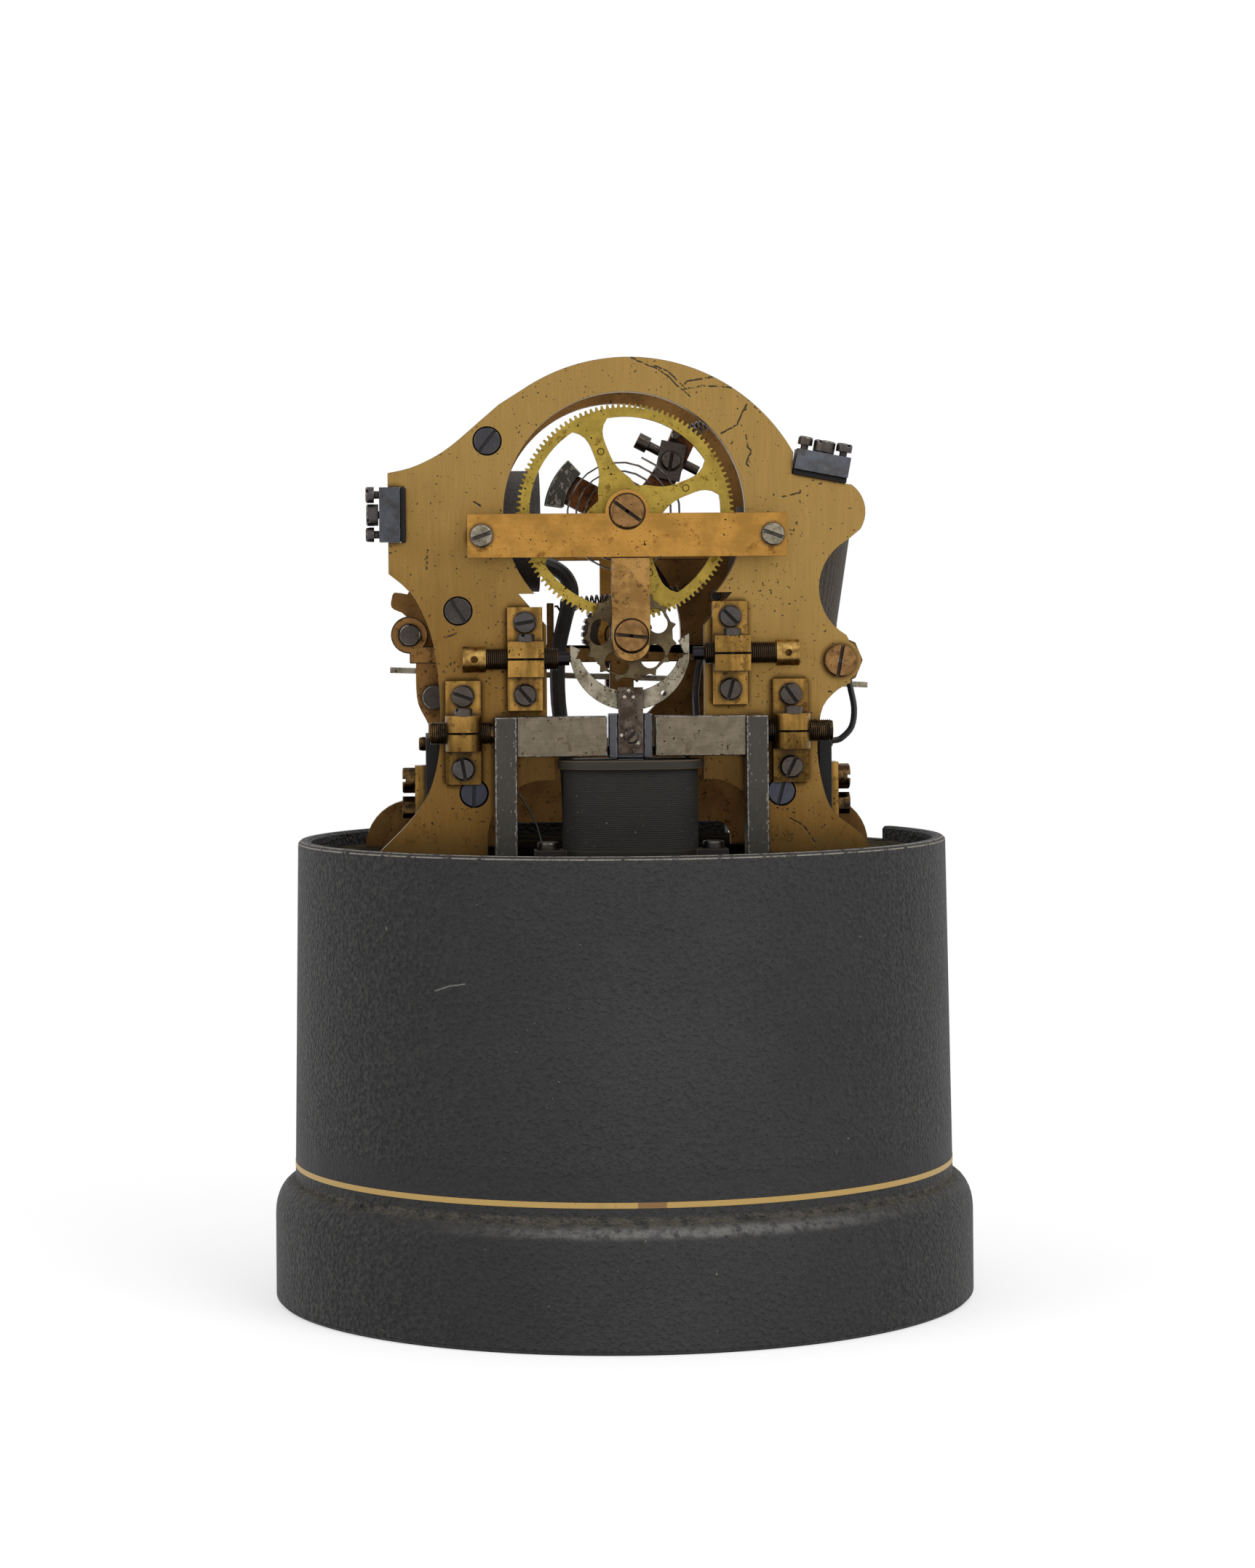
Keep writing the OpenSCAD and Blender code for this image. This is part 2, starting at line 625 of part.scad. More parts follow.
// Bridge on the back plate, with a bush for each arbor
rear_bar_half = 42.5;
bush_r = 4;
bush_proud = 0.6;
module rear_bridge() {
    color([0.6, 0.43, 0.24]) difference() {
        along_y(rear_y, rear_y + bar_t) union() {
            translate([-rear_bar_half, bar_low_z]) square([2 * rear_bar_half, bar_h]);
            translate([0, axle_z]) circle(boss_r);
            translate([escape_x - leg_w / 2, escape_z]) square([leg_w, bar_low_z - escape_z + over]);
            translate([escape_x, escape_z]) circle(boss_r);
        }
        rod_y(0, axle_z, bush_r + running, rear_y - over, rear_y + bar_t + over);
        rod_y(escape_x, escape_z, bush_r + running, rear_y - over, rear_y + bar_t + over);
        for (s = [-1, 1]) rod_y(s * rear_screw_x, bar_z, shank_r + running, rear_y - over,
            rear_y + bar_t + over);
    }
}
module rear_bushes() {
    color([0.75, 0.52, 0.3]) for (b = [[0, axle_z, arbor_r], [escape_x, escape_z, escape_arbor_r]])
        difference() {
            rod_y(b[0], b[1], bush_r, rear_y - bush_proud, rear_y + bar_t + bush_proud);
            rod_y(b[0], b[1], b[2] + running, rear_y - over, rear_y + bar_t + over);
        }
}

// Clamps on the front plate
block_w = 10.2;
block_h = 10;
block_out = 13;
slit_t = 0.6;
pinch_y = front_y - block_out + 2;
pinch_r = 1;
pinch_head_r = 2.5;
pinch_head_h = 2.2;
barrel_r = 5.1;
pinch_turns = [70, 15, 40, 5];
function clamp_z(c) = deck_z + c[1];
module clamp_cuts(c) {
    rod_x(stop_axis_y, clamp_z(c), stop_r + running, c[0] - block_w, c[0] + block_w);
    box(c[0] - block_w, c[0] + block_w, front_y - block_out - over, stop_axis_y,
        clamp_z(c) - slit_t / 2, clamp_z(c) + slit_t / 2);
    rod_z(c[0], pinch_y, pinch_r + running, clamp_z(c) - block_h / 2 + over, clamp_z(c) + block_h);
    for (s = [-1, 1]) rod_y(c[0], clamp_z(c) + s * clamp_screw_gap / 2, shank_r + running,
        front_y - foot_t - over, front_y + over);
}
module clamp_foot(c) {
    box(c[0] - clamp_w / 2, c[0] + clamp_w / 2, front_y - foot_t, front_y,
        clamp_z(c) - clamp_h / 2, clamp_z(c) + clamp_h / 2);
}
module stop_clamps() {
    color([0.76, 0.6, 0.22]) for (c = stop_clamp_places) difference() {
        union() {
            clamp_foot(c);
            box(c[0] - block_w / 2, c[0] + block_w / 2, front_y - block_out, front_y - foot_t,
                clamp_z(c) - block_h / 2, clamp_z(c) + block_h / 2);
        }
        clamp_cuts(c);
    }
}
module pole_clamps() {
    color([0.72, 0.55, 0.22]) for (c = pole_clamp_places) difference() {
        union() {
            clamp_foot(c);
            rod_z(c[0], front_y - block_out + barrel_r, barrel_r, clamp_z(c) - block_h / 2,
                clamp_z(c) + block_h / 2);
            box(c[0] - barrel_r, c[0] + barrel_r, front_y - block_out + barrel_r, front_y - foot_t,
                clamp_z(c) - block_h / 2, clamp_z(c) + block_h / 2);
        }
        clamp_cuts(c);
    }
}
module clamp_screws() {
    color([0.3, 0.29, 0.33]) for (i = [0 : 3]) {
        c = clamp_places()[i];
        for (s = [-1, 1]) facing_front([c[0], front_y - foot_t, clamp_z(c) + s * clamp_screw_gap / 2])
            slotted_screw(foot_head_r, bar_head_h, shank_r, foot_t + plate_t, pinch_turns[i] - 60 * s);
        translate([c[0], pinch_y, clamp_z(c) + block_h / 2])
            slotted_screw(pinch_head_r, pinch_head_h, pinch_r, block_h - 2 * over, pinch_turns[i]);
    }
}

// Stop screws with capstan heads, pole screws with slotted ends
stop_head_r = 3.75;
stop_head_l = 6.5;
stop_thread_l = 20.4;
stop_tip_r = 1.9;
stop_tip_l = 3.2;
capstan_r = 1;
stop_tip_left = -16.35;
stop_tip_right = 18.75;
pole_screw_out = 18.5;
module stop_screw(tip_x, side, h) {
    start = tip_x + side * stop_tip_l;
    color([0.6, 0.47, 0.2]) difference() {
        translate([tip_x, stop_axis_y, deck_z + h]) rotate([0, 90 * side, 0]) union() {
            cylinder(r = stop_tip_r, h = stop_tip_l);
            translate([0, 0, stop_tip_l]) cylinder(r = stop_r, h = stop_thread_l);
            translate([0, 0, stop_tip_l + stop_thread_l]) cylinder(r = stop_head_r, h = stop_head_l);
        }
        translate([start + side * (stop_thread_l + stop_head_l / 2), stop_axis_y, deck_z + h])
            for (a = [0, 90]) rotate([a, 0, 0])
                cylinder(r = capstan_r, h = 2 * (stop_head_r + over), center = true);
    }
}
module stop_screw_left() { stop_screw(stop_tip_left, -1, stop_clamp_places[0][1]); }
module stop_screw_right() { stop_screw(stop_tip_right, 1, stop_clamp_places[1][1]); }
module pole_screw(side, h) {
    tip = magnet_x + side * (magnet_r + running);
    color([0.5, 0.38, 0.2]) translate([tip, stop_axis_y, deck_z + h]) rotate([0, 90 * side, 0])
        difference() {
            cylinder(r = stop_r, h = pole_screw_out);
            translate([-stop_r - over, -slot_w / 2, pole_screw_out - slot_d])
                cube([2 * (stop_r + over), slot_w, slot_d + over]);
        }
}
module pole_screw_left() { pole_screw(-1, pole_clamp_places[0][1]); }
module pole_screw_right() { pole_screw(1, pole_clamp_places[1][1]); }

// Horseshoe magnet, its limbs through the deck, and the pole pieces
bend_drop = 38.8;
pole_piece_h = 11.3;
pole_piece_d = 8;
pole_gap_left = 0.6;
pole_gap_right = 0.8;
head_w = 12.3;
module horseshoe_magnet() {
    bend_z = deck_z - bend_drop;
    color([0.3, 0.3, 0.3]) along_y(limb_y - limb_d / 2, limb_y + limb_d / 2) {
        difference() {
            translate([magnet_x, bend_z]) circle(magnet_r, $fn = 96);
            translate([magnet_x, bend_z]) circle(magnet_r - limb_w, $fn = 96);
            translate([-2 * magnet_r, bend_z]) square([4 * magnet_r, 2 * magnet_r]);
        }
        for (s = [-1, 1]) translate([magnet_x + s * (magnet_r - limb_w / 2) - limb_w / 2, bend_z])
            square([limb_w, bend_drop + limb_h]);
    }
}
module pole_pieces() {
    top = deck_z + limb_h;
    left = magnet_x - magnet_r + limb_w;
    right = magnet_x + magnet_r - limb_w;
    color([0.6, 0.59, 0.56]) {
        box(left, armature_x - head_w / 2 - pole_gap_left, limb_y - pole_piece_d / 2,
            limb_y + pole_piece_d / 2, top - pole_piece_h, top);
        box(armature_x + head_w / 2 + pole_gap_right, right, limb_y - pole_piece_d / 2,
            limb_y + pole_piece_d / 2, top - pole_piece_h, top);
    }
}

// Coil round the armature
bobbin_t = 2.5;
bobbin_wall = 1;
bobbin_foot_half = 27.5;
coil_y = stem_y;
module racetrack(w, d) {
    for (s = [-1, 1]) translate([s * (w - d) / 2, 0]) circle(d / 2);
    translate([-(w - d) / 2, -d / 2]) square([w - d, d]);
}
module at_coil(z) { translate([armature_x, coil_y, z]) children(); }
module stem_hole(z0, z1) {
    box(armature_x - stem_w / 2 - stem_play, armature_x + stem_w / 2 + stem_play,
        stem_y - stem_d / 2 - loose, stem_y + stem_d / 2 + loose, z0, z1);
}
module coil_bobbin() {
    top = deck_z + coil_h;
    color([0.12, 0.12, 0.12]) difference() {
        union() {
            at_coil(deck_z) linear_extrude(bobbin_t) union() {
                racetrack(coil_w, coil_d);
                translate([-bobbin_foot_half, -foot_head_r - over])
                    square([2 * bobbin_foot_half, 2 * (foot_head_r + over)]);
            }
            at_coil(top - bobbin_t) linear_extrude(bobbin_t)
                racetrack(coil_w + 2 * bobbin_flange, coil_d + 2 * bobbin_flange);
            box(armature_x - stem_w / 2 - stem_play - bobbin_wall,
                armature_x + stem_w / 2 + stem_play + bobbin_wall,
                stem_y - stem_d / 2 - loose - bobbin_wall, stem_y + stem_d / 2 + loose + bobbin_wall,
                deck_z, top);
        }
        stem_hole(deck_z - over, top + over);
        for (s = [-1, 1]) rod_z(armature_x + s * coil_screw_x, stem_y, shank_r + running,
            deck_z - over, deck_z + bobbin_t + over);
    }
}
module coil_winding() {
    color([0.16, 0.16, 0.17]) difference() {
        at_coil(deck_z + bobbin_t) linear_extrude(coil_h - 2 * bobbin_t) racetrack(coil_w, coil_d);
        box(armature_x - stem_w / 2 - stem_play - bobbin_wall - running,
            armature_x + stem_w / 2 + stem_play + bobbin_wall + running,
            stem_y - stem_d / 2 - loose - bobbin_wall - running,
            stem_y + stem_d / 2 + loose + bobbin_wall + running, deck_z, deck_z + coil_h);
    }
}

// Armature, bronze strip and pallet fork, rocking together on the pivot pin
head_gap = 0.5;
head_top_drop = 0.6;
head_d = 7.4;
head_front_y = strip_front_y + 0.2;
strip_w = 7;
strip_rise = 1.4;
strip_reach = 6.54;
fork_r = 17;
fork_drop = 4.1;
fork_inner_r = 15.3;
fork_inner_drop = 0.5;
fork_x = escape_x - 0.2;
fork_cut_h = 6.4;
fork_hole_shares = [0.56, -0.96];
right_pallet_shares = [[0.994, 0.038], [0.812, -0.085], [0.9, -0.27], [0.88, -0.376]];
left_pallet_shares = [[-0.9, -0.376], [-0.825, -0.23], [-1, -0.14]];
module fork_pivot_pin() {
    color([0.5, 0.5, 0.5]) rod_y(armature_x, pivot_z, pivot_r, lug_y[0], lug_y[1] + lug_t);
}
module armature() {
    low = deck_z + coil_h + head_gap;
    top = deck_z + limb_h + head_top_drop;
    color([0.28, 0.32, 0.42]) difference() {
        union() {
            box(armature_x - head_w / 2, armature_x + head_w / 2, head_front_y,
                head_front_y + head_d, low, top);
            box(armature_x - stem_w / 2, armature_x + stem_w / 2, stem_y - stem_d / 2,
                stem_y + stem_d / 2, pivot_z, low + over);
            rod_y(armature_x, pivot_z, stem_w / 2, stem_y - stem_d / 2, stem_y + stem_d / 2);
        }
        box(armature_x - strip_w / 2 - loose, armature_x + strip_w / 2 + loose, head_front_y - over,
            strip_back_y, low - over, top + over);
        rod_y(armature_x, pivot_z, pivot_r + running, lug_y[0], lug_y[1] + lug_t);
    }
}
rivet_r = 0.75;
rivet_h = 0.4;
rivet_shares = [[0, 0.91], [-0.25, 0.79], [0.21, 0.79], [-0.25, 0.41], [0.25, 0.12]];
strip_screw_share = 0.26;
module fork_strip() {
    low = deck_z + coil_h + head_gap + strip_rise;
    strip_h = escape_z - fork_drop - fork_r + strip_reach - low;
    color([0.42, 0.3, 0.2]) {
        box(armature_x - strip_w / 2, armature_x + strip_w / 2, strip_front_y, strip_back_y, low,
            low + strip_h);
        for (s = rivet_shares) rod_y(armature_x + s[0] * strip_w, low + s[1] * strip_h, rivet_r,
            strip_front_y - rivet_h, strip_front_y + running);
        facing_front([armature_x, strip_front_y + running, low + strip_screw_share * strip_h])
            slotted_screw(strip_w / 3.4, rivet_h * 2, rivet_r, 0, 45);
    }
}
function fork_points(shares) = [for (s = shares) [fork_x + s[0] * fork_r, escape_z + s[1] * fork_r]];
function fork_outline() = let (
    outer_a = asin((fork_cut_h - fork_drop) / fork_r),
    inner_a = asin((fork_cut_h - fork_inner_drop) / fork_inner_r)
) concat(
    arc([fork_x, escape_z - fork_drop], fork_r, 180 + outer_a, 360 - outer_a, 40),
    fork_points(right_pallet_shares),
    arc([fork_x, escape_z - fork_inner_drop], fork_inner_r, 360 - inner_a, 180 + inner_a, 32),
    fork_points(left_pallet_shares)
);
module pallet_fork() {
    color([0.58, 0.57, 0.54]) along_y(strip_back_y, strip_back_y + fork_t) difference() {
        polygon(fork_outline());
        translate(fork_points([fork_hole_shares])[0]) circle(rivet_r);
    }
}

// Great wheel, its arbor and the mainspring
fit_r = 3;
root_drop = 1.25;
tip_rise = 0.9;
hub_r = 8.3;
spoke_mid = 2.1;
spoke_hub_flare = 6.5;
spoke_rim_flare = 3.2;
spoke_first = 21.6;
spoke_steps = 12;
collar_r = 5.2;
mesh_angle = -90 + train_lean;
function spoke_half(r) = spoke_mid + spoke_hub_flare * pow(max(0, (20 - r * 30 / wheel_rim_r) / 12), 3)
    + spoke_rim_flare * pow(max(0, (r / wheel_rim_r - 0.72) / 0.28), 3);
function window_points(a) = concat(
    [for (i = [0 : spoke_steps]) let (r = hub_r + (wheel_rim_r - hub_r) * i / spoke_steps)
        polar(r, a + asin(min(0.7, spoke_half(r) / r)))],
    arc([0, 0], wheel_rim_r, a + asin(spoke_half(wheel_rim_r) / wheel_rim_r) + 4,
        a + 90 - asin(spoke_half(wheel_rim_r) / wheel_rim_r) - 4, 12),
    [for (i = [0 : spoke_steps]) let (r = wheel_rim_r - (wheel_rim_r - hub_r) * i / spoke_steps)
        polar(r, a + 90 - asin(min(0.7, spoke_half(r) / r)))]
);
spoke_rivet_r = 18.6;
module great_wheel() {
    color([0.72, 0.63, 0.26]) translate([0, 0, axle_z]) difference() {
        along_y(wheel_y - wheel_t / 2, wheel_y + wheel_t / 2) difference() {
            polygon(teeth(wheel_teeth, pitch_r - root_drop * gear_module,
                pitch_r + tip_rise * gear_module, 0.6, 0.25, mesh_angle + 180 / wheel_teeth));
            for (k = [0 : 3]) polygon(window_points(spoke_first + 90 * k));
        }
        rod_y(0, 0, fit_r + running, wheel_y - wheel_t, wheel_y + wheel_t);
    }
}
function arbor_front() = bar_back_y + tongue_t;
module great_arbor() {
    front = arbor_front();
    color([0.55, 0.5, 0.42]) turned_y(0, axle_z, [
        [0, front - pivot_l], [bearing_pivot_r, front - pivot_l], [bearing_pivot_r, front + loose],
        [fit_r, front + loose], [fit_r, wheel_y + wheel_t / 2], [collar_r, wheel_y + wheel_t / 2],
        [collar_r, wheel_y + wheel_t / 2 + collar_r], [fit_r, wheel_y + wheel_t / 2 + collar_r],
        [fit_r, spring_y - spring_w / 2], [collet_r, spring_y - spring_w / 2],
        [collet_r, spring_y + spring_w / 2], [arbor_r, spring_y + spring_w / 2],
        [arbor_r, rear_y + bar_t + 2 * bush_proud], [0, rear_y + bar_t + 2 * bush_proud]
    ]);
}
spring_y = -12.5;
spring_w = 2.6;
collet_r = 4.6;
spring_out_r = 17.4;
spring_turns = 5;
spring_t = 0.45;
spring_steps = 24;
function spiral(r0, r1, turns, steps, off) = [for (i = [0 : turns * steps])
    polar(r0 + (r1 - r0) * i / (turns * steps) + off, 70 + i * 360 / steps)];
module mainspring() {
    side_a = spiral(collet_r + spring_t / 2, spring_out_r, spring_turns, spring_steps, -spring_t / 2);
    side_b = spiral(collet_r + spring_t / 2, spring_out_r, spring_turns, spring_steps, spring_t / 2);
    last = len(side_a) - 1;
    echo(mainspring_gap = (spring_out_r - collet_r) / spring_turns - spring_t);
    color([0.2, 0.2, 0.24]) translate([0, 0, axle_z])
        along_y(spring_y - spring_w / 2, spring_y + spring_w / 2)
            polygon(concat(side_a, [for (i = [0 : last]) side_b[last - i]]));
}

// Escape wheel, its arbor with the pinion, and the type wheels
escape_t = 1.5;
escape_rim_r = 12.1;
escape_teeth = 15;
escape_first = 134;
window_ring = 8.6;
window_r = 2.7;
window_stretch = 1.35;
windows = 5;
pinion_l = 4;
pinion_start = wheel_y - wheel_t - 0.2;
module escape_wheel() {
    color([0.47, 0.41, 0.32]) translate([escape_x, 0, escape_z]) difference() {
        along_y(fork_y - escape_t / 2, fork_y + escape_t / 2) difference() {
            polygon(teeth(escape_teeth, escape_rim_r, escape_tip_r, 0.42, 0.04, escape_first));
            for (k = [0 : windows - 1]) rotate(29 + k * 360 / windows)
                for (s = [-1, 1]) translate([window_ring, s * window_r * (window_stretch - 1)])
                    circle(window_r);
        }
        rod_y(0, 0, escape_arbor_r + running, fork_y - escape_t, fork_y + escape_t);
    }
}
type_seat_r = 1.9;
type_y = rear_y + bar_t + 1.5;
type_w = 5;
type_gap = 0.8;
nut_r = 3.4;
nut_h = 2;
module escape_arbor() {
    front = leg_back_y + loose;
    rear = type_y + 2 * type_w + type_gap + nut_h;
    color([0.55, 0.5, 0.42]) {
        turned_y(escape_x, escape_z, [
            [0, front - pivot_l], [escape_pivot_r, front - pivot_l], [escape_pivot_r, front + loose],
            [escape_arbor_r, front + loose], [escape_arbor_r, type_y - loose],
            [type_seat_r, type_y - loose], [type_seat_r, rear - nut_h], [escape_arbor_r, rear - nut_h],
            [escape_arbor_r, rear], [0, rear]
        ]);
        rod_y(escape_x, escape_z, nut_r, rear - nut_h, rear);
        difference() {
            translate([escape_x, 0, escape_z]) along_y(pinion_start, pinion_start + pinion_l)
                polygon(teeth(pinion_teeth, pinion_pitch_r - root_drop * gear_module,
                    pinion_pitch_r + tip_rise * gear_module, 0.6, 0.25, mesh_angle + 180));
            rod_y(escape_x, escape_z, escape_arbor_r / 2, pinion_start - over,
                pinion_start + pinion_l + over);
        }
    }
}
type_count = 30;
type_rise = 0.7;
module type_wheels() {
    color([0.35, 0.33, 0.3]) for (y = [type_y, type_y + type_w + type_gap])
        translate([escape_x, 0, escape_z]) difference() {
            along_y(y, y + type_w)
                polygon(teeth(type_count, type_r - type_rise, type_r, 0.7, 0.55, 0));
            rod_y(0, 0, type_seat_r + running, y - over, y + type_w + over);
        }
}

// Winding magnet on the left, its axis along X
winding_magnet_z = 93.5;
magnet_y = -1;
winding_left = -58.5;
winding_right = -25.7;
cheek_t = 2.1;
core_r = 5;
heel_t = 3;
heel_foot = 13;
core_out = 0.6;
module winding_magnet_coil() {
    z = deck_z + winding_magnet_z;
    color([0.13, 0.13, 0.13]) difference() {
        union() {
            rod_x(magnet_y, z, winding_magnet_r - 2 * running, winding_left, winding_right);
            rod_x(magnet_y, z, winding_magnet_r, winding_left - cheek_t, winding_left);
            rod_x(magnet_y, z, winding_magnet_r, winding_right, winding_right + cheek_t);
        }
        rod_x(magnet_y, z, core_r + running, winding_left - cheek_t - over,
            winding_right + cheek_t + over);
    }
}
module winding_magnet_core() {
    z = deck_z + winding_magnet_z;
    heel_x = winding_left - cheek_t - heel_t;
    half = 2 * core_r;
    color([0.35, 0.34, 0.33]) {
        rod_x(magnet_y, z, core_r, heel_x + heel_t / 2, winding_right + cheek_t + core_out);
        box(heel_x, heel_x + heel_t, magnet_y - half, back_y, z - half, z + half);
        box(heel_x, heel_x + heel_foot, back_y - heel_t, back_y, z - half, z + half);
    }
}

// Press magnet on the right, leaning outwards
press_foot = [46.4, 66];
press_lean = 8.7;
press_coil_h = 32;
press_core_out = 3;
press_head_half = 11;
module at_press_magnet() {
    translate([press_foot[0], magnet_y, deck_z + press_foot[1]]) rotate([0, press_lean, 0]) children();
}
module press_magnet_coil() {
    color([0.22, 0.2, 0.19]) at_press_magnet() difference() {
        union() {
            cylinder(r = press_magnet_r - 2 * running, h = press_coil_h);
            cylinder(r = press_magnet_r, h = cheek_t);
            translate([0, 0, press_coil_h - cheek_t]) cylinder(r = press_magnet_r, h = cheek_t);
        }
        translate([0, 0, -over]) cylinder(r = core_r + running, h = press_coil_h + 2 * over);
    }
}
module press_magnet_core() {
    color([0.35, 0.34, 0.33]) at_press_magnet() {
        translate([0, 0, -press_core_out])
            cylinder(r = core_r, h = press_core_out + press_coil_h + heel_t / 2);
        translate([-press_head_half, -press_head_half, press_coil_h])
            cube([2 * press_head_half, press_head_half + back_y - magnet_y, heel_t]);
    }
}

// Binding blocks: one in the notch on the left, one on the right shelf
binding_l = 15.5;
binding_t = 5.9;
binding_d = 10;
binding_y = front_y + plate_t / 2;
insulator_t = 1.5;
insulator_d = 7;
shelf_turn = 9.3;
binding_screw_shares = [-0.36, 0, 0.37];
binding_heads = [[2.1, 2.4, 1.5], [3.1, 3.4, 0.3], [2.3, 2.4, 1.5]];
binding_neck_r = 1.1;
shelf_shift = 0.4;
module at_bindings() {
    shelf = (on_plate(right_shelf_shares[0]) + on_plate(right_shelf_shares[1])) / 2;
    translate([left_edge_x() + notch_w, binding_y, deck_z + notch_mid_h]) rotate([0, -90, 0])
        children();
    translate([shelf[0], binding_y, shelf[1]]) rotate([0, shelf_angle(), 0])
        translate([-shelf_shift, 0, 0]) children();
}
function shelf_angle() = let (d = on_plate(right_shelf_shares[1]) - on_plate(right_shelf_shares[0]))
    -atan2(d[1], d[0]);
module binding_insulators() {
    color([0.1, 0.1, 0.1]) at_bindings() translate([-binding_l / 2, -insulator_d / 2, 0])
        cube([binding_l, insulator_d, insulator_t]);
}
module binding_blocks() {
    color([0.28, 0.31, 0.4]) at_bindings() difference() {
        translate([-binding_l / 2, -binding_d / 2, insulator_t])
            cube([binding_l, binding_d, binding_t]);
        for (s = binding_screw_shares) translate([s * binding_l, 0, insulator_t + over])
            cylinder(r = binding_neck_r + running, h = binding_t + over);
    }
}
module binding_screws() {
    top = insulator_t + binding_t;
    color([0.32, 0.28, 0.26]) at_bindings() for (i = [0 : 2])
        translate([binding_screw_shares[i] * binding_l, 0, 0]) {
            translate([0, 0, top - binding_t / 2])
                cylinder(r = binding_neck_r, h = binding_t / 2 + binding_heads[i][2]);
            translate([0, 0, top + binding_heads[i][2]])
                slotted_screw(binding_heads[i][0], binding_heads[i][1], binding_neck_r, 0, 60 * i);
        }
}

// Terminals low on both sides, on strips between the plates
strip_in = [53.4, 55.6];
strip_thick = 3.6;
strip_low = 9.5;
strip_tall = 24.7;
terminal_t = 3.2;
terminal_y = -9;
terminal_half = 4.5;
terminal_low = 6.5;
terminal_tall = 19.3;
terminal_screw_h = 21.5;
terminal_head_r = 3.7;
terminal_head_h = 3.6;
terminal_nut_h = 10.5;
terminal_nut_r = 3.2;
small_screw_h = 32;
small_head_r = 2;
module on_sides() {
    for (i = [0, 1]) mirror([1 - i, 0, 0]) translate([strip_in[i], 0, 0]) children();
}
module terminal_strips() {
    color([0.1, 0.1, 0.1]) on_sides()
        box(0, strip_thick, front_back_y, back_y, deck_z + strip_low, deck_z + strip_low + strip_tall);
}
module terminal_blocks() {
    color([0.7, 0.54, 0.24]) on_sides() difference() {
        box(strip_thick, strip_thick + terminal_t, terminal_y - terminal_half,
            terminal_y + terminal_half, deck_z + strip_low, deck_z + terminal_low + terminal_tall);
        rod_x(terminal_y, deck_z + terminal_screw_h, shank_r + running, strip_thick + over,
            strip_thick + terminal_t + over);
    }
}
module terminal_screws() {
    color([0.68, 0.5, 0.25]) on_sides() {
        facing_right([strip_thick + terminal_t, terminal_y, deck_z + terminal_screw_h])
            slotted_screw(terminal_head_r, terminal_head_h, shank_r, terminal_t / 2, 90);
        facing_right([strip_thick + terminal_t, terminal_y, deck_z + terminal_nut_h + terminal_nut_r])
            cylinder(r = terminal_nut_r, h = terminal_head_h, $fn = 6);
        facing_right([strip_thick, terminal_y, deck_z + small_screw_h])
            slotted_screw(small_head_r, small_head_r, shank_r, 0, 0);
    }
}

// Brass pivot screw of the right lobe, with its nut behind the plate
lobe_head_r = 4.6;
lobe_head_h = 2.6;
lobe_shank_r = 2.2;
lobe_nut_r = 7.2;
lobe_nut_t = 4;
module lobe_screw() {
    p = pivot_lobe_c;
    color([0.6, 0.42, 0.22]) {
        facing_front([p[0], front_y, p[1]])
            slotted_screw(lobe_head_r, lobe_head_h, lobe_shank_r, plate_t + lobe_nut_t, 80);
        difference() {
            facing_back([p[0], front_back_y, p[1]]) cylinder(r = lobe_nut_r, h = lobe_nut_t, $fn = 8);
            rod_y(p[0], p[1], lobe_shank_r + running, front_back_y - over,
                front_back_y + lobe_nut_t + over);
        }
    }
}

// Printing side: studs in the plates, tape guide, rollers and press lever
press_stud_r = 3;
press_stud_l = 15.5;
stud_seat_r = 1.6;
stud_head_r = 3;
stud_head_h = 1.4;
ink_pivot_share = [0.42, 0.523];
feed_share = [0.56, 0.2943];
pressure_share = [0.56, 0.3815];
spring_stud_share = [0.3, 0.533];
spring_post = [30, axle_z + 27.5];
spring_post_l = 20;
roller_y = type_y + 1;
roller_l = 8.6;
roller_axle_r = 1.6;
function stud_places() = [
    for (s = [ink_pivot_share, feed_share, pressure_share, spring_stud_share])
        [on_plate(s)[0], on_plate(s)[1], stud_seat_r],
    [on_plate(second_stud_share)[0], on_plate(second_stud_share)[1], stud_seat_r]
];
arm_t = 2.6;
arm_y = type_y + 2 * type_w + type_gap + 1;
second_stud_r = 3.5;
second_stud_l = 7;
spring_stud_l = 15;
module plate_studs() {
    ink = on_plate(ink_pivot_share);
    press = on_plate(stud_lobe_share);
    second = on_plate(second_stud_share);
    pull = on_plate(spring_stud_share);
    color([0.38, 0.38, 0.4]) {
        rod_y(ink[0], ink[1], roller_axle_r, back_y, arm_y + arm_t + loose);
        rod_y(ink[0], ink[1], stud_head_r, arm_y + arm_t + loose, arm_y + arm_t + loose + stud_head_h);
        for (s = [feed_share, pressure_share]) {
            p = on_plate(s);
            rod_y(p[0], p[1], roller_axle_r, back_y, roller_y + roller_l + loose);
            rod_y(p[0], p[1], stud_head_r, roller_y + roller_l + loose,
                roller_y + roller_l + loose + stud_head_h);
        }
        rod_y(press[0], press[1], press_stud_r, back_y - press_stud_l, rear_y);
        rod_y(second[0], second[1], stud_seat_r, back_y, rear_y);
        rod_y(second[0], second[1], second_stud_r, back_y - second_stud_l, back_y);
        rod_y(pull[0], pull[1], stud_seat_r, back_y - spring_stud_l, rear_y);
        rod_y(spring_post[0], spring_post[1], stud_seat_r, front_y + plate_t / 2,
            front_back_y + spring_post_l);
    }
}
guide_left = -67.5;
guide_right = 76.5;
guide_t = 1.6;
guide_w = 11.8;
guide_slope = 2.25;
guide_mid_z = 50.1;
guide_y = type_y - 0.5;
guide_edge = 1.3;
platen_half = 6.3;
feed_window_half = 4.6;
guide_post_r = 1.6;
guide_post_x = [-51, 51.5];
function guide_z(x) = deck_z + guide_mid_z - (x - escape_x) * tan(guide_slope);
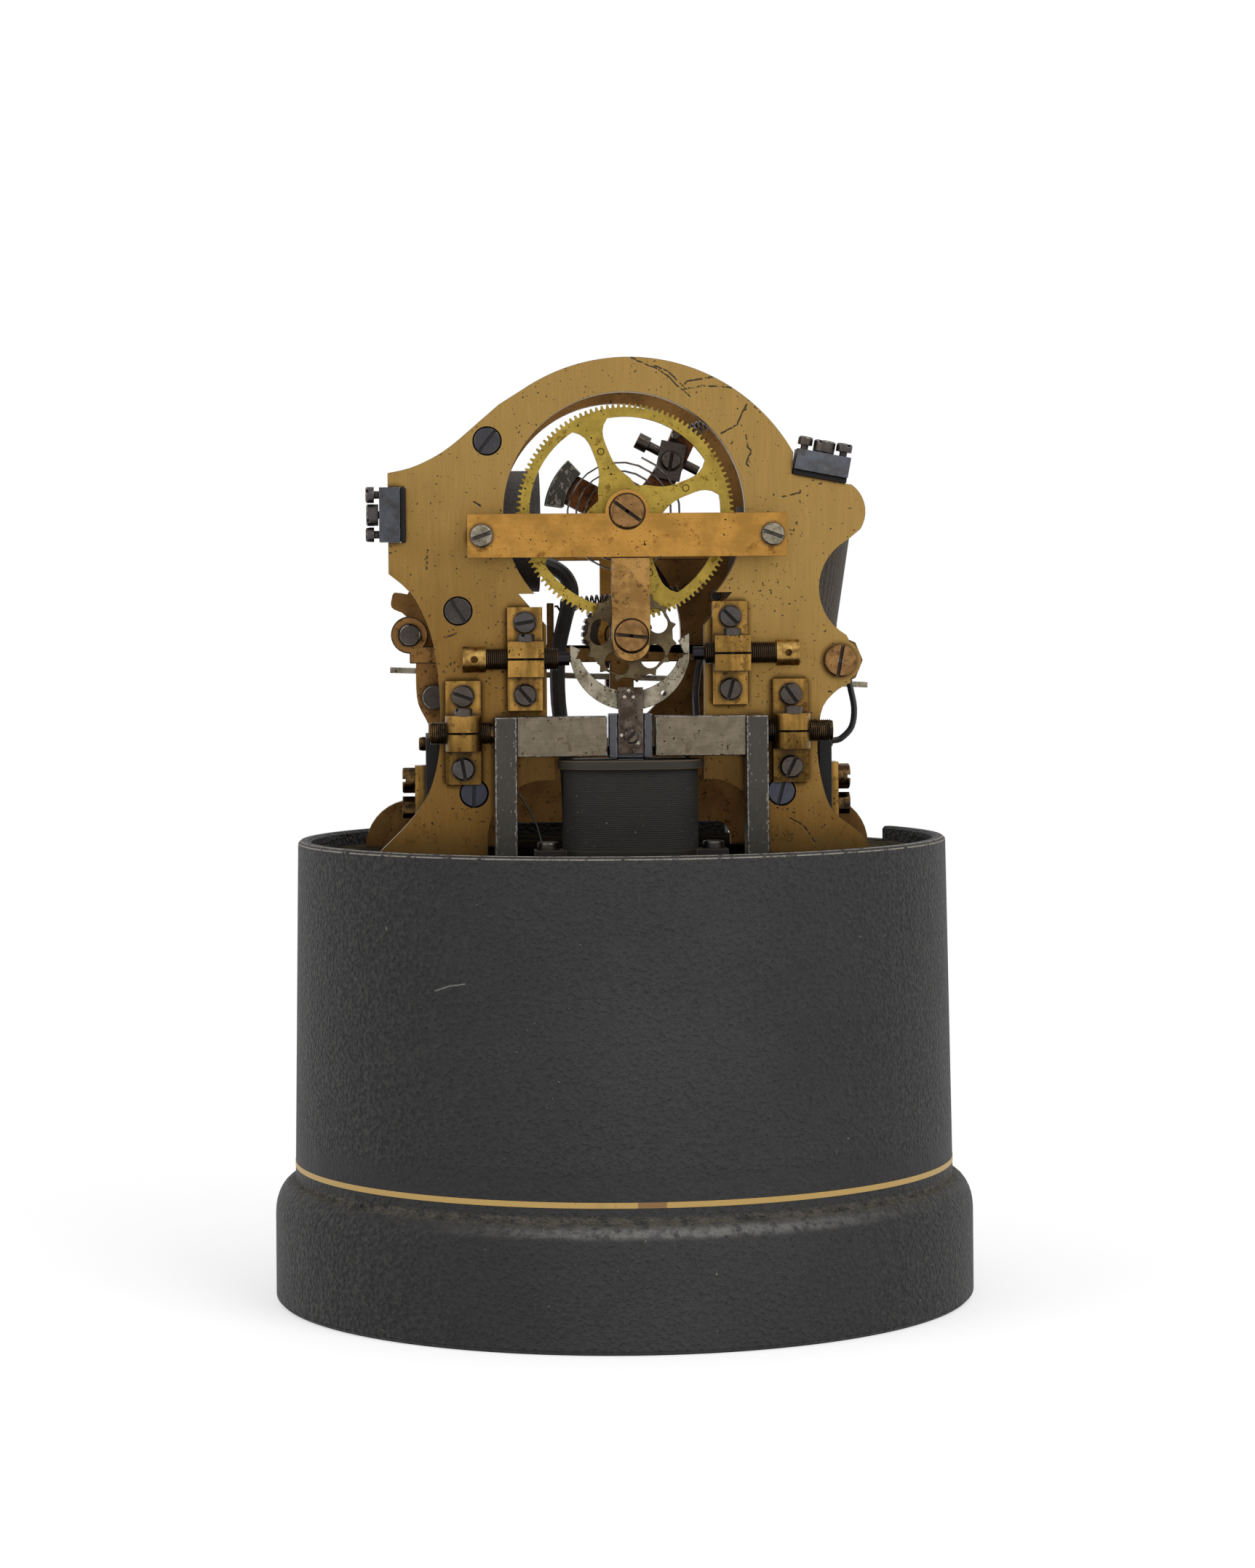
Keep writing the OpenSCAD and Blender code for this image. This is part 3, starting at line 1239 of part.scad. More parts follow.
module tape_guide() {
    color([0.7, 0.68, 0.62]) {
        difference() {
            translate([escape_x, 0, guide_z(escape_x)]) rotate([0, guide_slope, 0])
                box(guide_left - escape_x, guide_right - escape_x, guide_y, guide_y + guide_w,
                    -guide_t / 2, guide_t / 2);
            for (w = [[escape_x, platen_half], [on_plate(feed_share)[0], feed_window_half]])
                box(w[0] - w[1], w[0] + w[1], guide_y + guide_edge, guide_y + guide_w - guide_edge,
                    guide_z(w[0]) - guide_t, guide_z(w[0]) + guide_t);
        }
        for (x = guide_post_x) rod_y(x, guide_z(x) - guide_t / 2 - guide_post_r + running, guide_post_r,
            rear_y, guide_y + guide_w);
    }
}
press_y = back_y - press_stud_l + 2;
press_t = 4;
press_boss_r = 5.4;
press_arm_z = 57.5;
press_arm_h = 5;
press_arm_end = 56;
platen_w = 7;
platen_arm_t = 3.5;
platen_top = 51.1;
platen_low = 44;
press_post_x = -19;
press_post_w = 2;
press_post_top = 72.5;
pad_x = [38, 55];
pad_y = [-13, 11];
pad_t = 4.5;
module press_lever() {
    pivot = on_plate(stud_lobe_share);
    arm_mid = deck_z + press_arm_z;
    low = deck_z + platen_low;
    color([0.4, 0.36, 0.32]) difference() {
        union() {
            rod_y(pivot[0], pivot[1], press_boss_r, press_y, press_y + press_t);
            box(pivot[0], press_arm_end, press_y, press_y + press_t, arm_mid - press_arm_h / 2,
                arm_mid + press_arm_h / 2);
            box(escape_x - platen_w / 2, escape_x + platen_w / 2, press_y, press_y + press_t, low,
                arm_mid);
            box(escape_x - platen_w / 2, escape_x + platen_w / 2, press_y, roller_y + roller_l, low,
                low + platen_arm_t);
            box(escape_x - platen_w / 2, escape_x + platen_w / 2, roller_y, roller_y + roller_l, low,
                deck_z + platen_top);
            box(press_post_x - press_post_w, press_post_x, press_y, press_y + press_t, arm_mid,
                deck_z + press_post_top);
            box(pad_x[0], pad_x[1], pad_y[0], press_y + press_t / 2, arm_mid - press_arm_h / 2,
                arm_mid - press_arm_h / 2 + pad_t);
        }
        rod_y(pivot[0], pivot[1], press_stud_r + running, press_y - over, press_y + press_t + over);
    }
}
ink_r = 7;
ink_turn = 60;
ink_arm_r = 3.6;
ink_collar_r = 2.6;
ink_collar_t = 0.6;
ink_c = [escape_x, escape_z] + polar(type_r + ink_r + loose, ink_turn);
module ink_arm() {
    pivot = on_plate(ink_pivot_share);
    color([0.5, 0.38, 0.22]) {
        difference() {
            union() {
                along_y(arm_y, arm_y + arm_t) link(ink_c, pivot, ink_arm_r);
                rod_y(pivot[0], pivot[1], ink_arm_r, rear_y + loose, arm_y + arm_t);
            }
            rod_y(pivot[0], pivot[1], roller_axle_r + running, rear_y - over, arm_y + arm_t + over);
        }
        rod_y(ink_c[0], ink_c[1], roller_axle_r, type_y - running, arm_y + running);
        rod_y(ink_c[0], ink_c[1], ink_collar_r, type_y - running - ink_collar_t, type_y - running);
    }
}
module roller(c, r, y, length) {
    difference() {
        rod_y(c[0], c[1], r, y, y + length);
        rod_y(c[0], c[1], roller_axle_r + running, y - over, y + length + over);
    }
}
feed_r = 7;
pressure_r = 5;
module ink_roller() { color([0.15, 0.13, 0.2]) roller(ink_c, ink_r, type_y, 2 * type_w + type_gap); }
module feed_roller() { color([0.6, 0.5, 0.3]) roller(on_plate(feed_share), feed_r, roller_y, roller_l); }
module pressure_roller() {
    color([0.55, 0.52, 0.5]) roller(on_plate(pressure_share), pressure_r, roller_y, roller_l);
}

// Winding lever on the great arbor
lever_half_t = 4;
lever_hub_r = 6.5;
lever_arm_r = 4.4;
curved_in_r = 16.5;
curved_out_r = 22;
curved_half = 6;
curved_start = 133;
curved_end = 172;
lever_left = 152;
lever_reach = 32;
lever_low_shares = [[0.19, -0.06], [0.34, 0.08], [0.5, 0.27], [0.6, 0.46], [0.68, 0.63]];
lever_high_shares = [[0.5, 0.79], [0.37, 0.5], [0.22, 0.28], [0.07, 0.2]];
plate_c = [14.8, 15.6];
plate_size = [7.5, 11];
steel_t = 2;
plate_turn = -12;
adjust_from = [5.4, 22];
adjust_to = [23.2, 12.8];
adjust_r = 1.4;
adjust_head_r = 2.4;
adjust_head_l = 3.6;
hook_c = [16.2, 22.9];
hook_r = 1;
hook_l = 5;
fitting_depth = 4;
module at_axle() { translate([0, 0, axle_z]) children(); }
function lever_points(shares) = [for (s = shares) s * lever_reach];
function lever_outline() = let (
    seat_r = curved_in_r - running,
    seat_a = asin(lever_arm_r / seat_r)
) concat(
    smooth(lever_points(lever_low_shares), 4),
    smooth(lever_points(lever_high_shares), 4),
    arc([0, 0], lever_hub_r, 80, 110, 4),
    arc([0, 0], seat_r, lever_left - seat_a, lever_left + seat_a, 10),
    arc([0, 0], lever_hub_r, 194, 330, 12)
);
module winding_lever() {
    color([0.45, 0.28, 0.16]) at_axle() difference() {
        along_y(-lever_half_t, lever_half_t) polygon(lever_outline());
        rod_y(0, 0, arbor_r + running, -lever_half_t - over, lever_half_t + over);
        adjuster(adjust_r + running, 0);
        rod_y(plate_c[0], plate_c[1], rivet_r + running, -lever_half_t - over,
            fitting_depth - lever_half_t);
        rod_y(hook_c[0], hook_c[1], hook_r + running, -lever_half_t - over, fitting_depth - lever_half_t);
    }
}
module ring_segment(r0, r1, a0, a1) {
    polygon(concat(arc([0, 0], r1, a0, a1, 20), arc([0, 0], r0, a1, a0, 20)));
}
module winding_armature() {
    color([0.28, 0.29, 0.3]) at_axle() along_y(-curved_half, curved_half)
        ring_segment(curved_in_r, curved_out_r, curved_start, curved_end);
}
module adjuster(r, head_r) {
    d = adjust_to - adjust_from;
    translate([adjust_from[0], 0, adjust_from[1]]) rotate([0, 90 - atan2(d[1], d[0]), 0]) {
        cylinder(r = r, h = norm(d));
        if (head_r > 0) cylinder(r = head_r, h = adjust_head_l);
    }
}
module lever_fittings() {
    color([0.32, 0.3, 0.3]) at_axle() {
        adjuster(adjust_r, adjust_head_r);
        facing_front([plate_c[0], -lever_half_t, plate_c[1]]) rotate(plate_turn)
            translate([-plate_size[0] / 2, -plate_size[1] / 2, 0])
                cube([plate_size[0], plate_size[1], steel_t]);
        facing_front([plate_c[0], -lever_half_t - steel_t, plate_c[1]])
            slotted_screw(plate_size[0] / 2.8, steel_t, rivet_r, steel_t + fitting_depth - loose, 80);
        rod_y(hook_c[0], hook_c[1], hook_r, -lever_half_t - hook_l,
            fitting_depth - loose - lever_half_t);
    }
}

// Springs: one holds the winding lever back, one returns the press lever
small_spring_y = -lever_half_t - hook_l / 2 - 0.6;
module lever_springs() {
    hook = [hook_c[0] + hook_r + loose, small_spring_y, axle_z + hook_c[1]];
    post = [spring_post[0] - stud_seat_r - running, small_spring_y, spring_post[1]];
    pull = on_plate(spring_stud_share);
    color([0.3, 0.3, 0.3]) {
        spring_between(hook, post, 1.7, 7, 0.35, 1.2);
        spring_between([press_post_x + loose, press_y + press_t / 2, deck_z + press_post_top - over],
            [pull[0] - stud_seat_r - running, press_y + press_t / 2, pull[1]], 1.7, 24, 0.35, 1.6);
    }
}

// Leads: points chosen by hand along each route
bundle_r = 2.2;
lead_r = 0.9;
right_lead_route = [[64.5, -21.2, 181.5], [64.7, -19.2, 181], [65.6, -16, 176.5], [67, -14, 170],
    [66.4, -12.8, 164.5], [63.5, -12.3, 161.2], [61.2, -12.2, 160.5], [59.25, -12.2, 160.5]];
bundle_route = [[-23.6, -6, 212], [-20, -6, 211.6], [-16, -6.8, 208.5], [-14.5, -8, 203.5],
    [-16.5, -9, 196], [-18.5, -9, 186], [-18.5, -9, 172], [-16.5, -9, 158], [-15.5, -9, 144],
    [-15.5, -9, 132.5], [-15.5, -9, 128.5]];
sleeve_route = [[32, -6, 196.5], [31.6, -6.2, 194.3], [27, -7.5, 190.5], [23, -8.5, 184],
    [21.5, -9, 175], [21.5, -9, 165], [18.5, -9, 156], [15.5, -9, 148], [15, -9, 138],
    [15, -9, 131.5], [15, -9, 128.5]];
sleeve_gap = 3.4;
module lead(route, r) {
    p = smooth(route, 4);
    tube(p, [for (q = p) [0, 1, 0]], r, 8);
}
module leads() {
    color([0.1, 0.1, 0.1]) {
        lead(right_lead_route, lead_r);
        lead(bundle_route, bundle_r);
        lead(sleeve_route, lead_r);
        lead([for (p = sleeve_route) p + [0, sleeve_gap, 0]], lead_r);
    }
}

base_drum();
deck_plate();
deck_screws();
foot_screws();
front_plate();
back_plate();
frame_pillars();
pillar_screws();
bridge_bar();
bridge_leg();
bridge_posts();
rear_bridge();
bridge_screws();
wheel_bearing_screw();
escape_bearing_screw();
rear_bushes();
stop_clamps();
pole_clamps();
clamp_screws();
horseshoe_magnet();
pole_pieces();
coil_bobbin();
coil_winding();
fork_pivot_pin();
winding_magnet_coil();
winding_magnet_core();
press_magnet_coil();
press_magnet_core();
binding_blocks();
binding_insulators();
binding_screws();
terminal_strips();
terminal_blocks();
terminal_screws();
lobe_screw();
tape_guide();
plate_studs();
lever_springs();
leads();
great_wheel();
great_arbor();
mainspring();
escape_wheel();
escape_arbor();
type_wheels();
pallet_fork();
fork_strip();
armature();
stop_screw_left();
stop_screw_right();
pole_screw_left();
pole_screw_right();
winding_lever();
winding_armature();
lever_fittings();
press_lever();
ink_arm();
ink_roller();
feed_roller();
pressure_roller();
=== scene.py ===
"""Stock ticker on its cast iron drum: dresses the CAD frame for rendering.

Each node of the frame that shows is copied into a piece with softened edges, and gets a finish for its
faces and one for its edges. Small pieces that the frame has not got, such as screw threads, are modelled
here. All lengths are in metres, in the frame of the CAD.
"""
import json
from functools import reduce
from math import cos, pi, radians, sin
from operator import or_

import bpy
from bpy.props import FloatProperty, FloatVectorProperty, PointerProperty
from mathutils import Matrix, Vector


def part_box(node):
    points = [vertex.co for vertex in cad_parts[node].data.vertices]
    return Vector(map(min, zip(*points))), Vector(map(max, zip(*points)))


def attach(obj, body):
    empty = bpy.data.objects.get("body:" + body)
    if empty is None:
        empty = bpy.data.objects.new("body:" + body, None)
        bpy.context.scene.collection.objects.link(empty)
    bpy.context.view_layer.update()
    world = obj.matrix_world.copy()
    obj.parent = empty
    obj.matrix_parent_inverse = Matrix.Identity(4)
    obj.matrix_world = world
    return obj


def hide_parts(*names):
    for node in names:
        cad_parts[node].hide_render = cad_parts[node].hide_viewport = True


bl_info = {
    "name": "Stock ticker",
    "version": (1, 0, 0),
    "blender": (4, 5, 0),
    "location": "3D View > Sidebar > Ticker",
    "description": "Dresses the frame of a stock ticker with finishes and small pieces, and sets its stage",
    "category": "Object",
}

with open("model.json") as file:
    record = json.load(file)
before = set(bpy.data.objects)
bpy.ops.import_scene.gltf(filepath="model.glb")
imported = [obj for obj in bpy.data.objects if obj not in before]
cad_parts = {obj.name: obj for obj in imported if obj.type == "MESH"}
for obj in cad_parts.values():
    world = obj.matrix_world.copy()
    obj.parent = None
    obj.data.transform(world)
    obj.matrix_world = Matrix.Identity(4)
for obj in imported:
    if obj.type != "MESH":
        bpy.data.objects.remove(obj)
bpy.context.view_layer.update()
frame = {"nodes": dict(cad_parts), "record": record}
NODES = frame["nodes"]
BODY_OF = {
    node: body for body, nodes in frame["record"]["behaviour"]["bodies"].items() for node in nodes
}
MM = 0.001


# ---- settings


def colour(name, description, red, green, blue):
    """A colour setting, given as it looks on a screen, from 0 to 255."""
    return FloatVectorProperty(
        name=name, description=description, subtype="COLOR", min=0, max=1, default=rgb(red, green, blue)
    )


def rgb(red, green, blue):
    """A screen colour of 0 to 255 as the linear values that shaders take."""
    shares = (red / 255, green / 255, blue / 255)
    return tuple(s / 12.92 if s <= 0.04045 else ((s + 0.055) / 1.055) ** 2.4 for s in shares)


def length(name, description, default):
    """A length setting in metres."""
    return FloatProperty(name=name, description=description, default=default, min=0, unit="LENGTH")


def angle(name, description, default):
    """An angle setting in radians."""
    return FloatProperty(name=name, description=description, default=default, subtype="ANGLE")


def power(name, description, default):
    """A lamp's power setting in watts."""
    return FloatProperty(name=name, description=description, default=default, unit="POWER")


class TickerSizes(bpy.types.PropertyGroup):
    """Sizes of the edges and the small pieces."""

    plate_edge: length("Plate edge", "Width of the worn edge of plates and blocks", 0.3 * MM)
    screw_edge: length("Screw edge", "Width of the rounded edge of screw heads", 0.25 * MM)
    tooth_edge: length("Tooth edge", "Width of the edge of wheels and teeth", 0.12 * MM)
    thread_pitch: length("Thread pitch", "Distance from turn to turn of the adjusting screws", 0.58 * MM)
    thread_depth: length("Thread depth", "Height of the thread's ridge", 0.3 * MM)
    stripe_height: length("Stripe height", "Height of the gold stripe above the floor", 39.3 * MM)
    stripe_width: length("Stripe width", "Width of the gold stripe", 1.55 * MM)


class TickerColours(bpy.types.PropertyGroup):
    """Main colours of the finishes."""

    plate_brass: colour("Plate brass", "Brushed brass of the front plate", 158, 127, 72)
    plate_shade: colour("Plate lower brass", "Darker brass low down and to the left on the front plate", 126, 94, 48)
    back_brass: colour("Back plate brass", "Unpolished brass of the back plate", 128, 94, 54)
    bridge_brass: colour("Bridge brass", "Orange brass of the bridge", 184, 136, 66)
    wheel_brass: colour("Wheel brass", "Yellow brass of the great wheel", 172, 146, 66)
    clamp_brass: colour("Clamp brass", "Bright brass of the clamps", 160, 122, 62)
    screw_copper: colour("Bearing screw", "Copper coloured brass of the bearing screws", 150, 112, 70)
    blued_steel: colour("Blued steel", "Blue of the blocks and plate screws", 80, 82, 88)
    dark_steel: colour("Dark steel", "Browned steel of the screws", 80, 73, 68)
    bright_steel: colour("Bright steel", "Brushed steel of the pole pieces", 124, 113, 95)
    magnet_steel: colour("Magnet steel", "Dark steel of the magnet's limbs", 72, 69, 64)
    base_iron: colour("Base", "Black lacquer of the drum", 57, 56, 56)
    gold: colour("Stripe", "Gold paint of the stripe", 200, 164, 94)
    coil_cloth: colour("Coil wrap", "Black cloth of the coil", 48, 47, 44)
    leather: colour("Leather", "Leather round the winding magnet", 62, 57, 54)
    brown_brass: colour("Brown lever", "Browned brass of the levers", 128, 80, 48)


class TickerStage(bpy.types.PropertyGroup):
    """Camera and light."""

    distance: length("Camera distance", "From the camera to the drum's axis", 1.12)
    height: length("Camera height", "Height of the camera above the floor", 0.1978)
    turn: angle("Camera turn", "How far the camera stands to the left", radians(3))
    roll: angle("Camera roll", "How far the camera leans", radians(0.45))
    lens: FloatProperty(name="Lens", description="Focal length of the lens", default=87.896, unit="CAMERA")
    key_power: power("Key light", "Power of the main light", 13)
    fill_power: power("Fill light", "Power of the fill light", 7)
    sky: FloatProperty(name="Sky", description="Strength of the light from all round", default=0.55, min=0)


# ---- shader sums


SCRATCH_WOBBLE = 0.5 * MM
WOBBLE_SCALE = 700
CREVICE = (0.91, 0.46)  # how much of its surroundings an open place and a deep one see
WAVE_SCALE = 2 * pi / 20  # of a wave texture whose ridges are 1 m apart


class Wire:
    """A value in a shader that takes part in Python sums."""

    def __init__(self, finish, socket):
        self.finish = finish
        self.socket = socket

    def sum(self, operation, first, second):
        return self.finish.node("Math", {"operation": operation}, {0: first, 1: second})

    def __add__(self, other):
        return self.sum("ADD", self, other)

    __radd__ = __add__

    def __sub__(self, other):
        return self.sum("SUBTRACT", self, other)

    def __rsub__(self, other):
        return self.sum("SUBTRACT", other, self)

    def __mul__(self, other):
        return self.sum("MULTIPLY", self, other)

    __rmul__ = __mul__

    def __abs__(self):
        return self.sum("ABSOLUTE", self, 0)

    def __or__(self, other):
        """The larger of two masks."""
        return self.sum("MAXIMUM", self, other)


class Finish:
    """A material and the helpers that add its nodes."""

    def __init__(self, name, owner=None):
        """A new material, or the nodes of another owner such as a world."""
        self.material = owner or bpy.data.materials.get(name) or bpy.data.materials.new(name)
        self.material.use_nodes = True
        self.tree = self.material.node_tree
        self.tree.nodes.clear()
        self.colours = bpy.context.scene.ticker_colours
        if owner is None:
            self.place = self.node("TexCoord", out="Object")

    def node(self, kind, settings=None, inputs=None, out=0):
        """Adds a shader node with its settings, then its inputs, and gives one output."""
        made = self.tree.nodes.new("ShaderNode" + kind)
        for name, value in (settings or {}).items():
            setattr(made, name, value)
        for name, value in (inputs or {}).items():
            if isinstance(value, Wire):
                self.tree.links.new(value.socket, made.inputs[name])
            else:
                made.inputs[name].default_value = value
        return Wire(self, made.outputs[out])

    def vector(self, operation, first, second=(0, 0, 0), out="Vector"):
        """Vector maths, in which SCALE takes a number as its second value."""
        socket = "Scale" if operation == "SCALE" else 1
        return self.node("VectorMath", {"operation": operation}, {0: first, socket: second}, out)

    def axis(self, letter):
        """The place along X, Y or Z in metres."""
        return self.node("SeparateXYZ", {}, {"Vector": self.place}, letter)

    def noise(self, size, detail, roughness, stretch=None):
        """Clouds of about a size in metres, longer along an axis whose stretch is over 1."""
        where = self.place
        if stretch:
            where = self.node("Mapping", {}, {"Vector": where, "Scale": tuple(1 / s for s in stretch)})
        inputs = {"Vector": where, "Scale": 1 / size, "Detail": detail, "Roughness": roughness}
        return self.node("TexNoise", {}, inputs)

    def spots(self, size, detail, roughness, low, high, stretch=None):
        """Mask of the places where such clouds rise from a low level to a high one."""
        return self.between(self.noise(size, detail, roughness, stretch), low, high)

    def cells(self, size):
        """Distance from the middle of cells of a size."""
        return self.node("TexVoronoi", {}, {"Vector": self.place, "Scale": 1 / size})

    def ridges(self, size, direction):
        """Even, slightly wandering ridges across an axis, a size apart."""
        settings = {"wave_type": "BANDS", "bands_direction": direction}
        inputs = {"Vector": self.place, "Scale": WAVE_SCALE / size, "Distortion": 0.8, "Detail": 2}
        return self.node("TexWave", settings, inputs)

    def between(self, value, low, high):
        """0 below low, 1 above high, and smooth between."""
        inputs = {"Value": value, "From Min": low, "From Max": high}
        return self.node("MapRange", {"interpolation_type": "SMOOTHSTEP"}, inputs)

    def along(self, letter, low, high):
        """0 to 1 along an axis, between two places on it."""
        return self.between(self.axis(letter), low, high)

    def sideways(self, low, high):
        """0 to 1 with the distance to either side of the middle."""
        return self.between(abs(self.axis("X")), low, high)

    def near(self, value, middle, far, close):
        """1 where a value is close to a middle, and 0 where it is far from it."""
        return self.between(abs(value - middle), far, close)

    def mix(self, mask, first, second):
        """The first colour where the mask is 0, and the second where it is 1."""
        first, second = (c if isinstance(c, Wire) else (*c, 1.0) for c in (first, second))
        return self.node("Mix", {"data_type": "RGBA"}, {0: mask, 6: first, 7: second}, 2)

    def start(self, plain, amount):
        """Starts the finish's tone from one colour, lighter or darker by a value."""
        plain = self.node("CombineXYZ", {}, dict(zip("XYZ", plain)))
        self.tone = self.vector("SCALE", plain, amount)

    def paint(self, mask, shade):
        """Lays a colour over the tone where the mask is 1."""
        self.tone = self.mix(mask, self.tone, shade)

    def shade(self, amount):
        """Makes the tone lighter or darker by a value."""
        self.tone = self.vector("SCALE", self.tone, amount)

    def crevice(self, reach):
        """1 deep in a corner or slot, 0 in the open."""
        found = self.node("AmbientOcclusion", {"samples": 8}, {"Distance": reach}, "AO")
        return self.between(found, *CREVICE)

    def off_line(self, start, end):
        """Distance in metres, across y, from the line between two (x, z) points in millimetres."""
        along = Vector((end[0] - start[0], 0, end[1] - start[1])) * MM
        away = self.vector("SUBTRACT", self.flat, Vector((start[0], 0, start[1])) * MM)
        share = self.vector("DOT_PRODUCT", away, along / along.length_squared, "Value")
        share = self.node("Clamp", {}, {"Value": share})
        return self.vector("DISTANCE", away, self.vector("SCALE", along, share), "Value")

    def from_axis(self, x, z):
        """Distance in metres, across y, from a place given in metres."""
        return self.vector("DISTANCE", self.vector("MULTIPLY", self.place, (1, 0, 1)), (x, 0, z), "Value")

    def off_middle(self):
        """Distance in metres from the drum's upright axis."""
        return self.vector("LENGTH", self.vector("MULTIPLY", self.place, (1, 1, 0)), out="Value")

    def start_marks(self):
        """Makes the flattened, wobbling place that scratches are drawn on."""
        inputs = {"Vector": self.place, "Scale": WOBBLE_SCALE, "Detail": 2}
        shaken = self.node("TexNoise", {}, inputs, "Color")
        shaken = self.vector("SCALE", self.vector("SUBTRACT", shaken, (0.5, 0.5, 0.5)), SCRATCH_WOBBLE)
        self.flat = self.vector("MULTIPLY", self.vector("ADD", self.place, shaken), (1, 0, 1))

    def mark(self, points, width):
        """Mask of a scratch through (x, z) points in millimetres."""
        lines = (self.off_line(start, end) for start, end in zip(points, points[1:]))
        return reduce(or_, (self.between(line, width, width * 0.4) for line in lines))

    def done(self, roughness, height, depth, metallic=0.0, specular=0.5, sheen=0.0):
        """Feeds the Principled shader from the tone and from bumps of a depth, and gives the material."""
        bumps = {"Height": height, "Distance": depth, "Strength": 1}
        inputs = {
            "Base Color": self.tone, "Roughness": roughness, "Metallic": metallic, "Sheen Weight": sheen,
            "Specular IOR Level": specular, "Normal": self.node("Bump", {}, bumps, "Normal"),
        }
        self.end(self.node("BsdfPrincipled", {}, inputs))
        return self.material

    def end(self, shader, kind="OutputMaterial"):
        """Ends the tree with an output node that takes a shader."""
        output = self.tree.nodes.new("ShaderNode" + kind)
        self.tree.links.new(shader.socket, output.inputs["Surface"])


# ---- finishes


BLACK_GRIME_AND_SHADE = rgb(26, 22, 18)
BROWN_GRIME_AND_SHADE = rgb(58, 40, 24)

AXLE_X = 1.0 * MM  # the works stand this far right of the drum's axis
LIMB_X = 35.55 * MM  # from there to the middle of each limb of the magnet
SCREWS_X = 1.2 * MM  # midway between the two stop screws

# Spans in metres, from where a mask is 0 to where it is 1
LOW_DOWN, HIGH_UP = (0.172, 0.156), (0.160, 0.170)
INWARD, OUTWARD = (0.058, 0.050), (0.050, 0.058)
PLATE_FACE = (-0.0270, -0.0280)
PLATE_SUNK, PLATE_LOW, PLATE_FOOT = (0.235, 0.150), (0.175, 0.135), (0.140, 0.129)
WEB_SIDE, WEB_HEIGHT = (0.034, 0.029), (0.166, 0.152)
BLUE_TOP, BLUE_FOOT, LIT_RIGHT = (0.222, 0.236), (0.170, 0.160), (0.002, 0.05)
LIMB_EDGE = (0.0017, 0.0031)
COIL_FOOT = (0.150, 0.132)
SCREW_HEAD, SCREW_TIP = (0.0404, 0.0410), (0.0212, 0.0206)
FRONT_HALF, RIM_FRONT = (0.0, -0.01), (0.015, 0.0)
WALL_INSIDE, WALL_OUTSIDE = (0.0932, 0.0920), (0.0925, 0.0932)
RIM_FOOT, RIM_TOP, RIM_EDGE = (0.1280, 0.1286), (0.1335, 0.1325), (0.1300, 0.1310)
RIM_MIDDLE, DECK_SIDES, BASE_FOOT = (0.075, 0.045), (0.060, 0.075), (0.030, 0.018)

# Bands in metres: the middle, and how far off it a mask is 0 and 1
SMOOTH_BAND = (0.0425, 0.0070, 0.0030)
LEDGE, SHOULDER = (0.0349, 0.0017, 0.0004), (0.0323, 0.0022, 0.0003)
SHEEN_FRONT, BASE_SIDES = (0.012, 0.080, 0.010), (0.004, 0.040, 0.095)
STRIPE_PATCH = (0.0025, 0.0042, 0.0036)


def metal(
    name, light, dark, grain=(1, 1, 1), grain_size=0.45 * MM, grain_depth=0.28, clouds=9 * MM,
    tarnish=BROWN_GRIME_AND_SHADE, tarnished=0.60, specks=0.70, reach=1.6 * MM, grime_and_shade=0.85, rough=0.36, metallic=1.0,
    bands=0.0, low=0.0, outer=0.0, rings=(), ring_colour=BLACK_GRIME_AND_SHADE,
):
    """Worn metal: clouds of two shades, grain, tarnish in patches, dark specks, grime and painted shade in
    corners.

    light is a colour and dark another, or light names one of the colour settings and dark is a share of it.
    tarnished and specks are the levels of noise above which those start: lower is more of them. bands is how
    strong upright bands of light and dark are, low and outer how much painted light brightens it low down
    near the middle and high up out at the sides (painted shade where they are below 0), and rings are lines
    at (x, z, radius, half width) in metres.
    """
    f = Finish(name)
    if isinstance(light, str):
        light = getattr(f.colours, light)
        dark = tuple(c * dark for c in light)
    patches = f.noise(clouds, 4, 0.6)
    lines = f.noise(grain_size, 3, 0.6, grain)
    stains = f.spots(3.2 * MM, 6, 0.7, tarnished, tarnished + 0.1)
    crowded = f.spots(7 * MM, 3, 0.6, 0.45, 0.62)
    dots = f.between(f.noise(0.75 * MM, 3, 0.5) + crowded * 0.06, specks, specks + 0.025)
    corners = f.crevice(reach) * grime_and_shade
    f.tone = f.mix(f.between(patches, 0.35, 0.65), dark, light)
    f.shade((1 - grain_depth / 2) + lines * grain_depth)
    f.paint(stains * 0.75, tarnish)
    if bands:
        f.shade((1.0 - bands / 2) + f.spots(2.6 * MM, 2, 0.5, 0.4, 0.6, (1, 1, 9)) * bands)
    # Painted light low down near the middle and high up out at the sides; below 0 it paints shade.
    if low:
        f.shade(f.along("Z", *LOW_DOWN) * f.sideways(*INWARD) * low + 1.0)
    if outer:
        f.shade(f.along("Z", *HIGH_UP) * f.sideways(*OUTWARD) * outer + 1.0)
    f.paint(dots, BLACK_GRIME_AND_SHADE)
    for x, z, radius, width in rings:
        line = f.near(f.from_axis(x, z), radius, width, width * 0.5)
        f.paint(line * 0.92, ring_colour)
    # Grime and painted shade in corners and where other parts stand close.
    f.paint(corners, BLACK_GRIME_AND_SHADE)
    roughness = rough - 0.06 + patches * 0.12 + stains * 0.18 + corners * 0.3
    height = lines * 0.5 + dots * -1.0 + stains * -0.4
    shine = (1.0 - corners * 0.6) * metallic
    return f.done(roughness, height, 0.05 * MM, shine)


